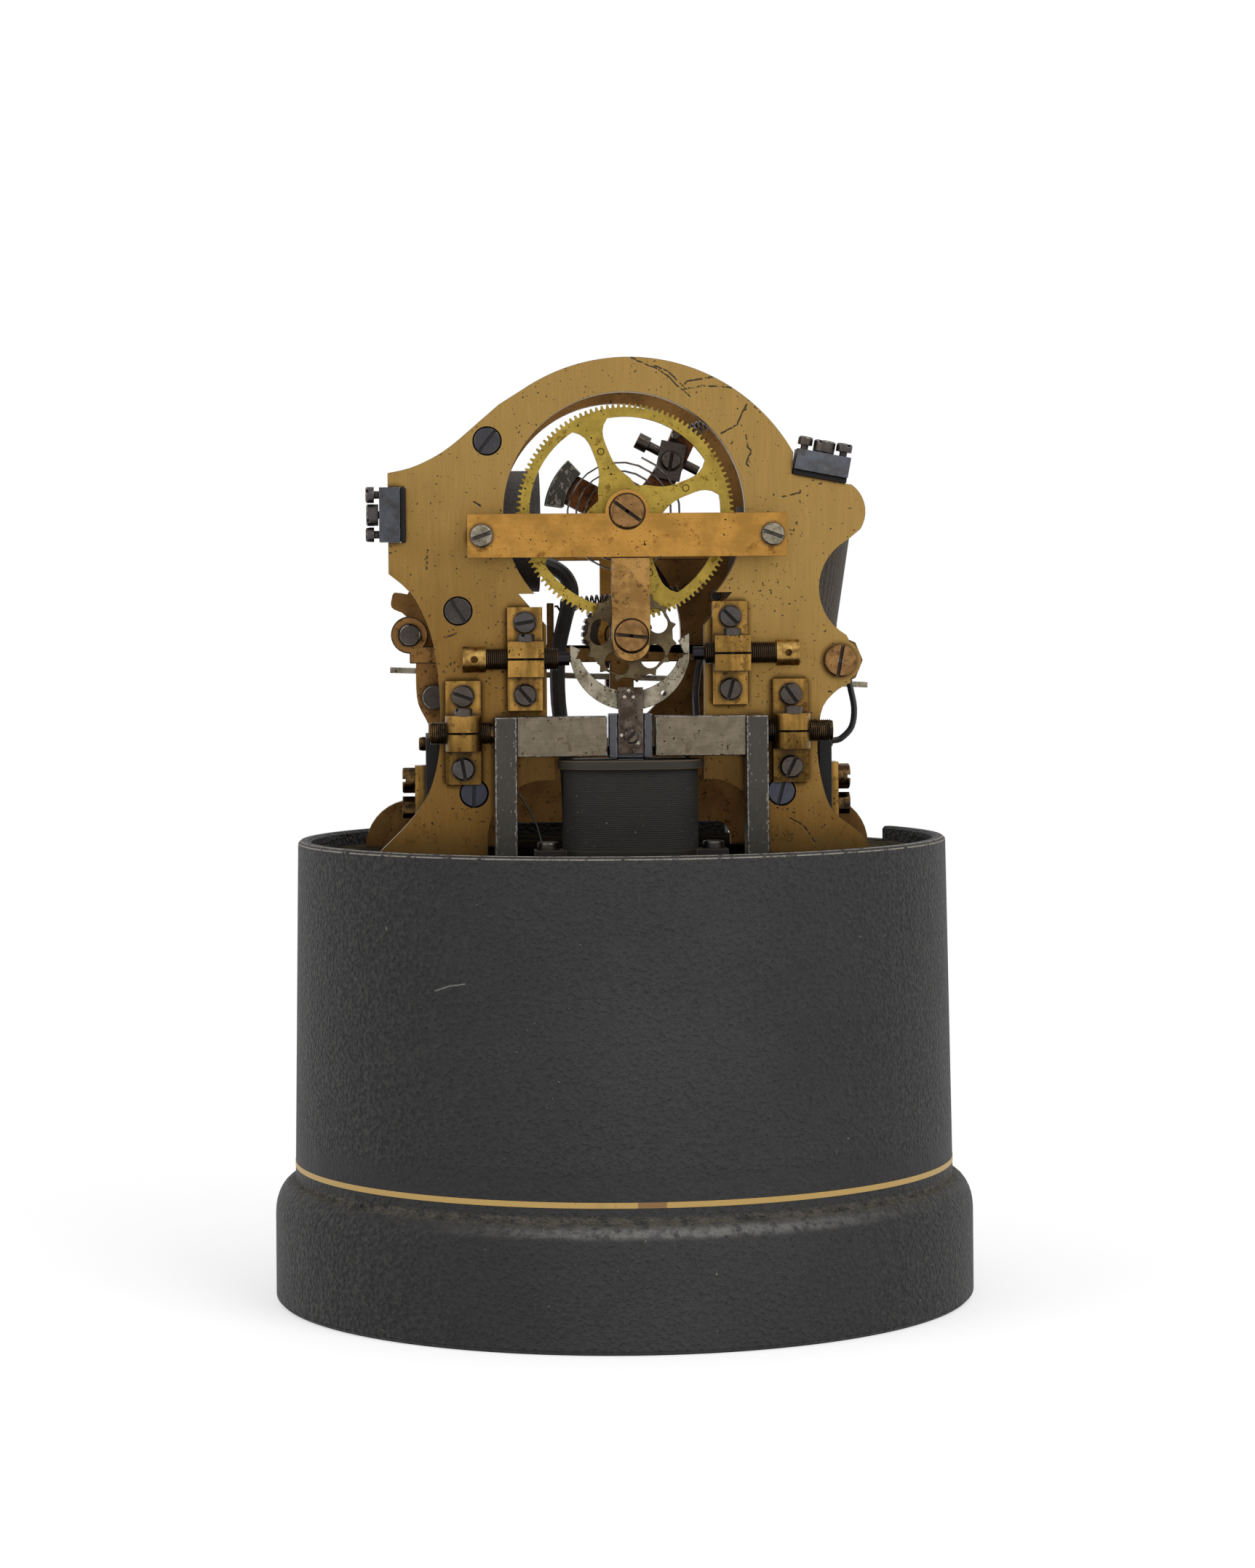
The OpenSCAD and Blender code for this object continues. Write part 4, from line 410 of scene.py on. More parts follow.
PLATE_SCRATCHES = (
    ((2.3, 270.6), (5.8, 268.9), (9.3, 267.6), (12.8, 265.2), (15.3, 262.5), (18.8, 259.5)),
    ((8.8, 268.3), (12.8, 266.6), (14.8, 264.5), (17.3, 262)),
    ((17.3, 262), (18, 263.8), (22.4, 264.5), (26.4, 265.2)),
    ((17.3, 261.5), (22.3, 262.5), (31.9, 261.9)),
    ((35.9, 258.4), (33.9, 254.9), (32.3, 251.4), (27.8, 248.9)),
    ((37.4, 256.4), (38.9, 254.9)),
    ((34.8, 248.3), (35.3, 244.8), (36.3, 243.8), (34.8, 240.3), (36, 238.8)),
    ((45.1, 230.7), (50.3, 231.9)),
    ((-56.1, 216.3), (-56.3, 210.8)),
    ((-51.5, 191.4), (-48, 192.4)),
    ((46.6, 139.1), (50.6, 136.6), (53.6, 132)),
    ((-42.8, 229.8), (-41, 228.6)),
)


def front_plate_brass():
    """Brass brushed up and down, paler at the top and darker low down and to the left, rust stained low
    down, with painted shade at its foot and on the web between the magnet's limbs, grime and painted shade
    in corners, and long dark scratches.
    """
    f = Finish("front plate brass")
    height = f.axis("Z")
    patches = f.noise(14 * MM, 5, 0.62)
    lines = f.noise(0.3 * MM, 3, 0.65, (1, 1, 40))
    streaks = f.noise(2.4 * MM, 4, 0.6, (1, 1, 14))
    # Darker towards the bottom and the left.
    sunk = f.between(height + f.axis("X") * 0.4 + (patches - 0.5) * 0.06, *PLATE_SUNK)
    low = f.between(height + (patches - 0.5) * 0.03, *PLATE_LOW)
    f.tone = f.mix(sunk, f.colours.plate_brass, f.colours.plate_shade)
    # Painted shade at the plate's foot, next to the deck.
    f.paint(f.between(height, *PLATE_FOOT) * 0.5, rgb(78, 62, 38))
    # Painted shade on the web between the magnet's limbs, low down.
    web_shade = f.near(f.axis("X"), AXLE_X, *WEB_SIDE) * f.between(height, *WEB_HEIGHT)
    f.paint(web_shade * 0.55, rgb(62, 46, 28))
    f.shade(0.63 + lines * 0.50 + streaks * 0.24)
    rust = f.spots(6 * MM, 7, 0.72, 0.66 - low * 0.12, 0.76 - low * 0.08)
    f.paint(rust * 0.6, rgb(84, 56, 26))
    f.start_marks()
    scratches = reduce(or_, (f.mark(points, 0.34 * MM) for points in PLATE_SCRATCHES))
    breaks = f.spots(1.1 * MM, 3, 0.6, 0.40, 0.50)
    scratches = scratches * breaks * f.along("Y", *PLATE_FACE)
    crowded = f.spots(11 * MM, 3, 0.6, 0.45, 0.66)
    pits = f.between(f.noise(0.9 * MM, 3, 0.5) + crowded * 0.05, 0.695, 0.715)
    dark = scratches | pits
    corners = f.crevice(2.6 * MM)
    f.paint(dark * 0.92, BLACK_GRIME_AND_SHADE)
    # Grime and painted shade in corners and where other parts stand close.
    f.paint(corners * 0.85, BROWN_GRIME_AND_SHADE)
    roughness = 0.34 + patches * 0.08 + low * 0.06 + dark * 0.35 + corners * 0.2
    return f.done(roughness, lines * 0.6 + streaks * 0.4 - dark * 2.0, 0.05 * MM, 1.0 - dark * 0.8)


def plate_edge_brass():
    """Dark, dirty edge of a brass plate, rubbed in places."""
    return metal(
        "plate edge brass", rgb(70, 54, 30), rgb(26, 20, 14), tarnish=BLACK_GRIME_AND_SHADE, tarnished=0.47,
        clouds=4 * MM, rough=0.7, metallic=0.15,
    )


def screw_ring(node):
    """Middle, radius and half width of the dark gap round a screw that faces the front."""
    low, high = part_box(node)
    return (low.x + high.x) / 2, (low.z + high.z) / 2, (high.x - low.x) / 2 + 0.15 * MM, 0.35 * MM


def bridge_brass():
    """Orange brass of the bridge, brushed along, blotched and dark at its edges."""
    return metal(
        "bridge brass", "bridge_brass", 0.72, (30, 1, 1), 0.35 * MM, 0.22,
        clouds=7 * MM, tarnish=rgb(120, 78, 34), tarnished=0.57, specks=0.715, rough=0.34, reach=2 * MM,
        rings=(screw_ring("wheel_bearing_screw"),),
    )


def leg_brass():
    """Brass of the bridge's leg, brushed up and down and more stained than the bar."""
    return metal(
        "leg brass", rgb(172, 132, 76), rgb(136, 102, 58), (1, 1, 24), 0.35 * MM, 0.3,
        clouds=5 * MM, tarnish=rgb(92, 64, 34), tarnished=0.53, rough=0.38,
        rings=(screw_ring("escape_bearing_screw"),),
    )


def bridge_edge_brass():
    """Black, chipped edge of the bridge."""
    return metal(
        "bridge edge brass", rgb(112, 80, 40), rgb(30, 22, 15), tarnish=BLACK_GRIME_AND_SHADE, tarnished=0.44,
        clouds=1.6 * MM, rough=0.5, metallic=0.6,
    )


def back_plate_brass():
    """Unpolished brown brass of the back plate, with painted light low down near the middle and high up at
    its sides.
    """
    return metal(
        "back plate brass", "back_brass", 0.55, (1, 1, 6), 0.8 * MM, 0.2,
        clouds=16 * MM, tarnish=rgb(80, 52, 28), tarnished=0.56, rough=0.44, reach=2 * MM,
        # Painted light low down near the middle and high up at the sides.
        low=0.9, outer=0.7,
    )


def wheel_brass():
    """Yellow brass of the great wheel, with grime and painted shade between the teeth, and a rivet in each
    spoke.
    """
    low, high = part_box("great_wheel")
    middle, radius = (low + high) / 2, (high.x - low.x) / 2
    rivets = [
        (middle.x + radius * 0.6 * cos(turn), middle.z + radius * 0.6 * sin(turn), 0.9 * MM, 0.22 * MM)
        for turn in (radians(21.5 + 90 * i) for i in range(4))
    ]
    return metal(
        "wheel brass", "wheel_brass", 0.74, (4, 1, 4), 0.4 * MM, 0.3,
        clouds=6 * MM, tarnish=rgb(108, 84, 34), tarnished=0.56, specks=0.68, reach=0.9 * MM,
        rings=rivets, ring_colour=rgb(70, 54, 24),
    )


def wheel_edge_brass():
    """Brown edge of the great wheel's rim and teeth."""
    return metal(
        "wheel edge brass", rgb(110, 90, 42), rgb(44, 34, 18), tarnished=0.48, clouds=1.2 * MM, rough=0.42
    )


def escape_brass():
    """Grey brown brass of the escape wheel."""
    return metal(
        "escape wheel brass", rgb(108, 94, 70), rgb(76, 65, 48), (4, 1, 4), tarnished=0.56, rough=0.4,
        reach=1.2 * MM,
    )


def armature_steel():
    """Blued steel of the armature, rubbed paler than the other blued pieces."""
    f = Finish("armature steel")
    streaks = f.noise(0.4 * MM, 3, 0.6, (8, 8, 1))
    clouds = f.noise(5 * MM, 4, 0.6)
    f.start(rgb(80, 80, 83), 0.66 + streaks * 0.4 + clouds * 0.5)
    return f.done(0.36 + clouds * 0.12, streaks, 0.1 * MM, 0.6)


def clamp_brass():
    """Bright brass of the clamps with brown patches, gold edges and painted shade low down near the middle.
    """
    return metal(
        "clamp brass", "clamp_brass", 0.66, (1, 1, 10), 0.35 * MM, 0.34,
        clouds=6 * MM, tarnish=rgb(96, 70, 34), tarnished=0.555, specks=0.69, rough=0.32, reach=2.2 * MM,
        # low=-0.6 paints shade low down near the middle.
        bands=0.5, low=-0.6,
    )


def clamp_edge_brass():
    """Rubbed edge of a clamp."""
    return metal(
        "clamp edge brass", rgb(150, 116, 60), rgb(52, 38, 20), tarnished=0.48, clouds=1.4 * MM, metallic=0.8
    )


def bearing_copper(node, spot=BLACK_GRIME_AND_SHADE, size=0.62 * MM):
    """Copper coloured screw with a brushed head and a spot, such as an oil hole, in the middle."""
    x, z = screw_ring(node)[:2]
    return metal(
        node.replace("_", " ") + " copper", "screw_copper", 0.6, (3, 1, 12), 0.3 * MM, 0.34, clouds=3 * MM,
        tarnish=rgb(84, 60, 38), tarnished=0.55, reach=2.2 * MM, rough=0.34, grime_and_shade=1.0,
        rings=((x, z, 0, size),), ring_colour=spot,
    )


def bearing_edge():
    """Black ring round a bearing screw."""
    return metal(
        "bearing screw edge", rgb(34, 28, 20), rgb(18, 15, 12), clouds=1 * MM, rough=0.6, metallic=0.2
    )


def screw_steel():
    """Browned steel screws, some greyer than others, brushed across their heads."""
    f = Finish("screw steel")
    tint = f.spots(38 * MM, 1, 0.5, 0.45, 0.58)
    patches = f.noise(2.2 * MM, 4, 0.6)
    lines = f.noise(0.22 * MM, 2, 0.6, (14, 1, 3))
    corners = f.crevice(1.2 * MM)
    f.tone = f.mix(tint * 0.35, f.colours.dark_steel, f.colours.blued_steel)
    f.shade(0.45 + patches * 0.6 + lines * 0.5)
    rust = f.spots(1.4 * MM, 5, 0.7, 0.57, 0.68)
    f.paint(rust * 0.55, rgb(82, 58, 42))
    # Grime and painted shade in corners and where other parts stand close.
    f.paint(corners, BLACK_GRIME_AND_SHADE)
    roughness = 0.30 + patches * 0.12 + rust * 0.2 + corners * 0.3
    return f.done(roughness, lines + patches, 0.05 * MM, 1.0 - corners * 0.7)


def blued_steel(name="blued steel", blue=0.0):
    """Grey blue steel, brushed and rusted in spots; blue is how much of its blueing is left high up."""
    f = Finish(name)
    patches = f.noise(3.5 * MM, 4, 0.6)
    lines = f.noise(0.25 * MM, 2, 0.6, (10, 1, 10))
    corners = f.crevice(1.2 * MM)
    f.tone = f.mix(f.between(patches, 0.38, 0.62), f.colours.blued_steel, rgb(70, 69, 70))
    if blue:
        left = (f.along("Z", *BLUE_TOP) * 0.55 | f.along("Z", *BLUE_FOOT)) * blue
        bare = f.mix(f.between(patches, 0.4, 0.6), rgb(78, 71, 64), rgb(66, 62, 60))
        f.tone = f.mix(left, bare, rgb(66, 66, 76))
    # Painted light: the tone grows lighter towards the right.
    f.shade((0.70 + lines * 0.6) * (1.0 + f.along("X", *LIT_RIGHT) * 0.35))
    rust = f.spots(1.5 * MM, 5, 0.72, 0.58, 0.66) * f.spots(8 * MM, 2, 0.5, 0.46, 0.58)
    f.paint(rust * 0.7, rgb(96, 68, 50))
    # Grime and painted shade in corners and where other parts stand close.
    f.paint(corners, BLACK_GRIME_AND_SHADE)
    roughness = 0.34 + patches * 0.1 + rust * 0.2
    return f.done(roughness, lines + patches * 0.5, 0.05 * MM, 1.0 - corners * 0.7)


def steel_edge():
    """Rubbed bright edge of a steel piece."""
    return metal(
        "steel edge", rgb(150, 146, 140), rgb(78, 76, 74), tarnished=0.56, clouds=1.2 * MM, rough=0.32
    )


def blued_edge():
    """Edge of a blued piece, a little paler than its faces."""
    return metal("blued edge", rgb(116, 117, 122), rgb(52, 52, 56), clouds=1.4 * MM, rough=0.34)


def pole_steel():
    """Bright steel of the pole pieces, brushed along, with rust spots."""
    return metal(
        "pole piece steel", "bright_steel", 0.74, (24, 1, 1), 0.3 * MM, 0.42,
        clouds=4 * MM, tarnish=rgb(92, 76, 58), tarnished=0.58, specks=0.705, rough=0.38,
    )


def fork_steel(name="fork steel", reach=1.6 * MM):
    """Polished steel of the pallet fork, with stains."""
    return metal(
        name, rgb(158, 149, 130), rgb(112, 103, 87), (3, 1, 3), 0.4 * MM, 0.2, clouds=4 * MM,
        tarnish=rgb(92, 74, 54), tarnished=0.575, specks=0.67, rough=0.34, reach=reach,
    )


def strip_bronze():
    """Dark bronze of the fork's strip, with pale rivets."""
    places = ((0.3, 176.0), (-0.9, 174.2), (1.6, 174.2), (-1.8, 163.4), (2.9, 161.2))
    return metal(
        "strip bronze", rgb(100, 88, 78), rgb(66, 55, 47), (1, 1, 12), 0.35 * MM, 0.3, clouds=3 * MM,
        tarnish=rgb(52, 38, 28), tarnished=0.55, rough=0.42,
        rings=[(x * MM, z * MM, 0, 0.6 * MM) for x, z in places], ring_colour=rgb(196, 186, 168),
    )


def magnet_steel():
    """Dark steel of the magnet's limbs, speckled with bare spots."""
    f = Finish("magnet steel")
    patches = f.noise(7 * MM, 4, 0.6)
    lines = f.noise(0.3 * MM, 3, 0.6, (1, 1, 16))
    f.start(f.colours.magnet_steel, 0.55 + patches * 0.4 + lines * 0.5)
    side = f.between(abs(abs(f.axis("X") - AXLE_X) - LIMB_X), *LIMB_EDGE)
    bare = f.between(f.noise(0.8 * MM, 4, 0.62, (1, 1, 1.8)) + side * 0.12, 0.640, 0.69)
    f.paint(bare * 0.8, rgb(150, 144, 132))
    rust = f.spots(5 * MM, 6, 0.7, 0.6, 0.72)
    f.paint(rust * 0.5, rgb(66, 48, 34))
    corners = f.crevice(1.5 * MM)
    # Grime and painted shade in corners and where other parts stand close.
    f.paint(corners * 0.8, BLACK_GRIME_AND_SHADE)
    return f.done(0.36 + patches * 0.16, lines * 0.6 + patches + bare * 0.6, 0.06 * MM, 0.85)


def base_lacquer(edge=False):
    """Black lacquer over pebbly cast iron, dusty on ledges and, at its edges, rubbed bare at the rim."""
    f = Finish("base edge" if edge else "base lacquer")
    height = f.axis("Z")
    pebbles = f.noise(1.25 * MM, 2, 0.5, (1.15, 1, 1))
    grit = f.noise(0.5 * MM, 2, 0.55)
    swells = f.noise(14 * MM, 2, 0.5)
    patches = f.noise(50 * MM, 4, 0.6)
    smooth = f.near(height, *SMOOTH_BAND)
    # Painted sheen: the front of the drum is lighter towards its middle.
    wear_and_sheen = f.near(f.axis("X"), *SHEEN_FRONT)
    shade = 0.26 + patches * 0.5 + grit * 0.4 + pebbles * 0.56 - smooth * 0.1
    f.start(f.colours.base_iron, shade * (1.0 + wear_and_sheen * 0.42))
    dust = f.spots(4 * MM, 6, 0.7, 0.36, 0.6) * f.near(height, *LEDGE)
    f.paint(dust * 0.7, rgb(112, 106, 94))
    # Painted highlight along the flange's shoulder, on the front.
    gleam = f.spots(3 * MM, 4, 0.7, 0.30, 0.6) * f.near(height, *SHOULDER)
    f.paint(gleam * wear_and_sheen * 0.75, rgb(142, 140, 136))
    # Painted glints on the pebbles at the sides, and painted shade in their hollows.
    side = f.near(f.axis("X"), *BASE_SIDES) * (1.0 - smooth)
    glints = f.between(pebbles, 0.52, 0.66) * side
    f.paint(glints * 0.2, rgb(112, 110, 104))
    f.shade(1.0 - f.between(pebbles, 0.50, 0.36) * side * 0.35)
    out = f.off_middle()
    # Painted shade on the rim's inner wall, darkest in the middle.
    inside = f.between(out, *WALL_INSIDE) * f.between(height, *RIM_FOOT) * f.between(height, *RIM_TOP)
    f.paint(inside * f.sideways(*RIM_MIDDLE) * 0.9, rgb(12, 10, 8))
    grazes = f.spots(16 * MM, 7, 0.75, 0.66, 0.72, (1, 1, 2)) * f.between(height, *BASE_FOOT)
    f.paint(grazes * 0.45, rgb(120, 106, 86))
    chips = f.spots(1.3 * MM, 3, 0.6, 0.735, 0.75)
    f.paint(chips * 0.7, rgb(168, 156, 136))
    f.start_marks()
    graze = f.mark(((-55, 95.7), (-51, 97.2), (-47.2, 97.9)), 0.28 * MM) * f.along("Y", *FRONT_HALF)
    f.paint(graze * 0.8, rgb(140, 138, 132))
    if edge:
        rubbed = f.spots(4 * MM, 6, 0.72, 0.36, 0.5) * f.between(height, *RIM_EDGE)
        rubbed = rubbed * f.between(out, *WALL_OUTSIDE) * f.along("Y", *RIM_FRONT)
        f.paint(rubbed * 0.85, rgb(172, 166, 154))
    roughness = 0.44 + patches * 0.14 + dust * 0.3
    bumps = pebbles * (1.0 - smooth * 0.6) + grit * 0.25 + swells * 0.7
    return f.done(roughness, bumps, 1.5 * MM, specular=0.03 if edge else 0.11)


def deck_lacquer():
    """Dusty dark lacquer of the deck inside the drum."""
    f = Finish("deck lacquer")
    dust = f.spots(12 * MM, 6, 0.68, 0.38, 0.68)
    f.tone = f.mix(dust, rgb(16, 14, 12), rgb(34, 29, 22))
    f.paint(f.sideways(*DECK_SIDES) * 0.8, f.mix(dust, rgb(56, 52, 44), rgb(104, 94, 76)))
    return f.done(0.8, f.noise(1.6 * MM, 4, 0.6), 0.2 * MM, specular=0.0)


def gold_paint():
    """Gold stripe, bright in places and rubbed thin in others."""
    f = Finish("gold stripe")
    rubbed = f.spots(34 * MM, 3, 0.6, 0.40, 0.30)
    flakes = f.spots(1.1 * MM, 4, 0.7, 0.64, 0.7)
    f.tone = f.mix(rubbed * 0.25, f.colours.gold, rgb(128, 100, 60))
    patch = f.near(f.axis("X"), *STRIPE_PATCH) * f.along("Y", *FRONT_HALF)
    f.paint(patch * 0.85, rgb(132, 92, 56))
    f.paint(flakes * (0.4 + rubbed * 0.6), rgb(60, 50, 38))
    return f.done(0.5, f.noise(2.2 * MM, 3, 0.6), 0.2 * MM)


def cloth_wrap(name, plain, pitch, direction, weave=0.0):
    """Cloth or tape wound round a coil: turns, threads and dust."""
    f = Finish(name)
    turns = f.ridges(pitch, direction)
    threads = f.noise(0.3 * MM, 2, 0.6, (8, 8, 1) if direction == "Z" else (1, 1, 8))
    wear_and_sheen = f.noise(6 * MM, 5, 0.65)
    dust = f.spots(4 * MM, 6, 0.72, 0.6, 0.74)
    f.start(plain, 0.18 + turns * 0.5 + threads * 0.66 + wear_and_sheen * 0.66)
    f.paint(dust * 0.3, rgb(104, 88, 72))
    # Painted shade: darker low down, at the coil's foot.
    f.shade(1.0 - f.along("Z", *COIL_FOOT) * 0.15)
    height = turns * 0.3 + threads * 0.7
    if weave:
        knots = f.cells(weave)
        height = height + knots * 1.2
        f.shade(1.15 - knots * 0.5)
    specks = f.spots(0.9 * MM, 2, 0.5, 0.735, 0.75)
    f.paint(specks * 0.8, rgb(172, 160, 140))
    return f.done(0.6 + wear_and_sheen * 0.15, height, 0.14 * MM, specular=0.2)


def leather_wrap():
    """Grained leather round the winding magnet."""
    f = Finish("leather wrap")
    grain = f.cells(1.0 * MM)
    folds = f.noise(3 * MM, 4, 0.6)
    f.start(f.colours.leather, 0.6 + grain * 0.5 + folds * 0.3)
    rubbed = f.spots(4 * MM, 6, 0.7, 0.6, 0.72)
    f.paint(rubbed * 0.5, rgb(110, 92, 72))
    return f.done(0.5 + grain * 0.2, grain * 0.8 + folds * 0.8, 0.22 * MM)


def hard_rubber(name="hard rubber", plain=rgb(27, 26, 26)):
    """Dull black insulating rubber with a brown bloom."""
    f = Finish(name)
    bloom = f.spots(6 * MM, 5, 0.65, 0.5, 0.72)
    f.tone = f.mix(bloom * 0.3, plain, rgb(62, 52, 42))
    # Painted shade: darker low down, at the coil's foot.
    f.shade(1.0 - f.along("Z", *COIL_FOOT) * 0.6)
    return f.done(0.48 + bloom * 0.25, f.noise(0.8 * MM, 4, 0.6), 0.06 * MM, specular=0.22)


def lead_cover():
    """Black rubber of the leads, cracked and dusty."""
    f = Finish("lead cover")
    cracks = f.spots(0.9 * MM, 4, 0.7, 0.58, 0.66)
    f.tone = f.mix(cracks * 0.5, rgb(32, 31, 32), rgb(80, 70, 58))
    return f.done(0.42, f.noise(0.5 * MM, 3, 0.6), 0.08 * MM)


def ink_felt():
    """Felt of the ink roller, violet black."""
    f = Finish("ink felt")
    fluff = f.noise(0.5 * MM, 4, 0.7)
    f.start(rgb(58, 46, 72), 0.5 + fluff * 0.8)
    return f.done(0.95, fluff, 0.3 * MM, sheen=0.4)


def brown_brass():
    """Browned brass of the levers."""
    return metal(
        "brown lever brass", "brown_brass", 0.45, clouds=6 * MM,
        tarnish=rgb(60, 38, 24), tarnished=0.52, rough=0.4, reach=2 * MM,
    )


def spring_steel():
    """Thin dark spring steel."""
    return metal("spring steel", rgb(110, 104, 98), rgb(60, 54, 50), clouds=3 * MM, rough=0.32)


def thread_brass():
    """Oily brown black thread."""
    return metal(
        "thread brass", rgb(112, 86, 52), rgb(44, 36, 28), clouds=2.5 * MM, reach=0.5 * MM, rough=0.34
    )


def stop_screw_brass():
    """Stop screw: gold at its capstan head, brown along its thread and black steel at its tip."""
    f = Finish("stop screw brass")
    out = abs(f.axis("X") - SCREWS_X)
    head, tip = f.between(out, *SCREW_HEAD), f.between(out, *SCREW_TIP)
    patches = f.noise(2.5 * MM, 4, 0.6)
    f.tone = f.mix(f.between(patches, 0.35, 0.65), rgb(118, 88, 46), rgb(186, 150, 86))
    f.tone = f.mix(head, rgb(70, 54, 34), f.tone)
    f.paint(tip, rgb(44, 42, 44))
    corners = f.crevice(1.0 * MM)
    # Grime and painted shade in corners and where other parts stand close.
    f.paint(corners, BLACK_GRIME_AND_SHADE)
    return f.done(0.26 + patches * 0.12, patches, 0.04 * MM, 1.0 - corners * 0.6)


# ---- modelling


WELD, FLAT = 0.002 * MM, radians(0.5)
CORNER, ROUNDED = radians(30), radians(38)
THREAD_RADIUS = 2.9 * MM  # from a screw's axis to the middle of its ridge


def edit_whole():
    """Edit mode with all of the active piece's mesh selected."""
    bpy.ops.object.mode_set(mode="EDIT")
    bpy.ops.mesh.select_all(action="SELECT")


def dress(node, faces, edges=None, edge="plate_edge", segments=2):
    """Copies a CAD node into a piece with rounded edges and its finishes, and hides the node.

    edge is a width in metres, or names one of the size settings.
    """
    if isinstance(edge, str):
        edge = getattr(bpy.context.scene.ticker_sizes, edge)
    piece = bpy.data.objects.new(node + ".dressed", NODES[node].data.copy())
    bpy.context.scene.collection.objects.link(piece)
    bpy.ops.object.select_all(action="DESELECT")
    piece.select_set(True)
    bpy.context.view_layer.objects.active = piece
    piece.data.materials.clear()
    for finish in (faces, edges or faces):
        piece.data.materials.append(finish)
    piece.data.polygons.foreach_set("material_index", [0] * len(piece.data.polygons))
    bpy.ops.mesh.customdata_custom_splitnormals_clear()
    edit_whole()
    bpy.ops.mesh.remove_doubles(threshold=WELD)
    bpy.ops.mesh.dissolve_limited(angle_limit=FLAT)
    bpy.ops.object.mode_set(mode="OBJECT")
    if edge:
        shape_with(
            piece, "BEVEL", width=edge, segments=segments, limit_method="ANGLE", angle_limit=CORNER,
            material=1, use_clamp_overlap=True,
        )
    bpy.ops.object.shade_smooth_by_angle(angle=ROUNDED)
    shape_with(piece, "WEIGHTED_NORMAL", keep_sharp=True)
    settle(piece, BODY_OF[node])
    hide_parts(node)


def dress_screws(node, edge="screw_edge", segments=2):
    """Dresses a node of steel screws, pins or arbors."""
    dress(node, screw_steel(), steel_edge(), edge, segments)


def shape_with(piece, kind, **settings):
    """Adds a modifier to the active piece, sets it and applies it."""
    shaper = piece.modifiers.new(kind.lower(), kind)
    for name, value in settings.items():
        setattr(shaper, name, value)
    bpy.ops.object.modifier_apply(modifier=shaper.name)


def settle(piece, body):
    """Hands a finished piece to the body that it moves with."""
    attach(piece, body)


def new_piece(name, finish):
    """Names the object that an operator has just added and gives it a finish."""
    piece = bpy.context.active_object
    piece.name = name
    piece.data.name = name
    piece.data.materials.append(finish)
    return piece


def thread(kind, side, bare):
    """A helical ridge round an adjusting screw, which lies along x and is bare for a length at each end."""
    sizes = bpy.context.scene.ticker_sizes
    node = f"{kind}_screw_{side}"
    low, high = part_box(node)
    start, end = low.x + bare[0], high.x - bare[1]
    bpy.ops.object.select_all(action="DESELECT")
    bpy.ops.mesh.primitive_circle_add(
        vertices=3, radius=sizes.thread_depth, fill_type="NOTHING", rotation=(pi / 2, 0, 0),
        location=(start, (low.y + high.y) / 2, (low.z + high.z) / 2),
    )
    ridge = new_piece(f"{kind}_thread_{side}", thread_brass())
    bpy.ops.object.transform_apply(location=False)
    edit_whole()
    bpy.ops.transform.translate(value=(0, 0, THREAD_RADIUS))
    bpy.ops.object.mode_set(mode="OBJECT")
    turns = int((end - start) / sizes.thread_pitch)
    shape_with(
        ridge, "SCREW", axis="X", screw_offset=sizes.thread_pitch, iterations=turns, steps=20,
        render_steps=20, use_merge_vertices=False,
    )
    edit_whole()
    bpy.ops.mesh.fill_holes(sides=4)
    bpy.ops.mesh.normals_make_consistent(inside=False)
    bpy.ops.object.mode_set(mode="OBJECT")
    bpy.ops.object.transform_apply()
    bpy.ops.object.shade_smooth_by_angle(angle=CORNER)
    settle(ridge, BODY_OF[node])


def wire(name, points, radius, finish):
    """A bent wire through five places in millimetres."""
    bpy.ops.object.select_all(action="DESELECT")
    bpy.ops.curve.primitive_nurbs_path_add(location=(0, 0, 0))
    path = new_piece(name, finish)
    for point, place in zip(path.data.splines[0].points, points):
        point.co = (*(Vector(place) * MM), 1)
    path.data.bevel_depth = radius
    path.data.use_fill_caps = True
    bpy.ops.object.convert(target="MESH")
    bpy.ops.object.shade_smooth_by_angle(angle=radians(40))
    settle(bpy.context.active_object, "frame")


# ---- operators


class TickerOperator:
    """What the ticker's operators share."""

    bl_options = {"REGISTER", "UNDO"}


class TICKER_OT_base(TickerOperator, bpy.types.Operator):
    """Dresses the drum, its deck and their screws, and paints the gold stripe"""

    bl_idname = "ticker.base"
    bl_label = "Base"

    def execute(self, context):
        dress("base_drum", base_lacquer(), base_lacquer(True), 0.6 * MM, 3)
        dress("deck_plate", deck_lacquer())
        for node in ("deck_screws", "foot_screws"):
            dress_screws(node)
        self.stripe(context.scene.ticker_sizes)
        return {"FINISHED"}

    def stripe(self, sizes):
        """The stripe is a thin ring on the drum's slanting wall."""
        rings = sorted({
            (round(v.co.z, 5), round(Vector((v.co.x, v.co.y)).length, 5))
            for v in NODES["base_drum"].data.vertices
        })
        foot = max(ring for ring in rings if ring[0] < sizes.stripe_height)
        rim = max(rings, key=lambda ring: ring[0] * 10 + ring[1])
        share = (sizes.stripe_height - foot[0]) / (rim[0] - foot[0])
        radius = foot[1] + (rim[1] - foot[1]) * share
        bpy.ops.object.select_all(action="DESELECT")
        bpy.ops.mesh.primitive_cylinder_add(
            vertices=256, radius=radius + 0.13 * MM, depth=sizes.stripe_width, end_fill_type="NOTHING",
            location=(0, 0, sizes.stripe_height),
        )
        stripe = new_piece("gold_stripe", gold_paint())
        bpy.ops.object.transform_apply()
        shape_with(stripe, "SOLIDIFY", thickness=0.4 * MM, offset=-1)
        bpy.ops.object.shade_smooth_by_angle(angle=CORNER)
        settle(stripe, "frame")


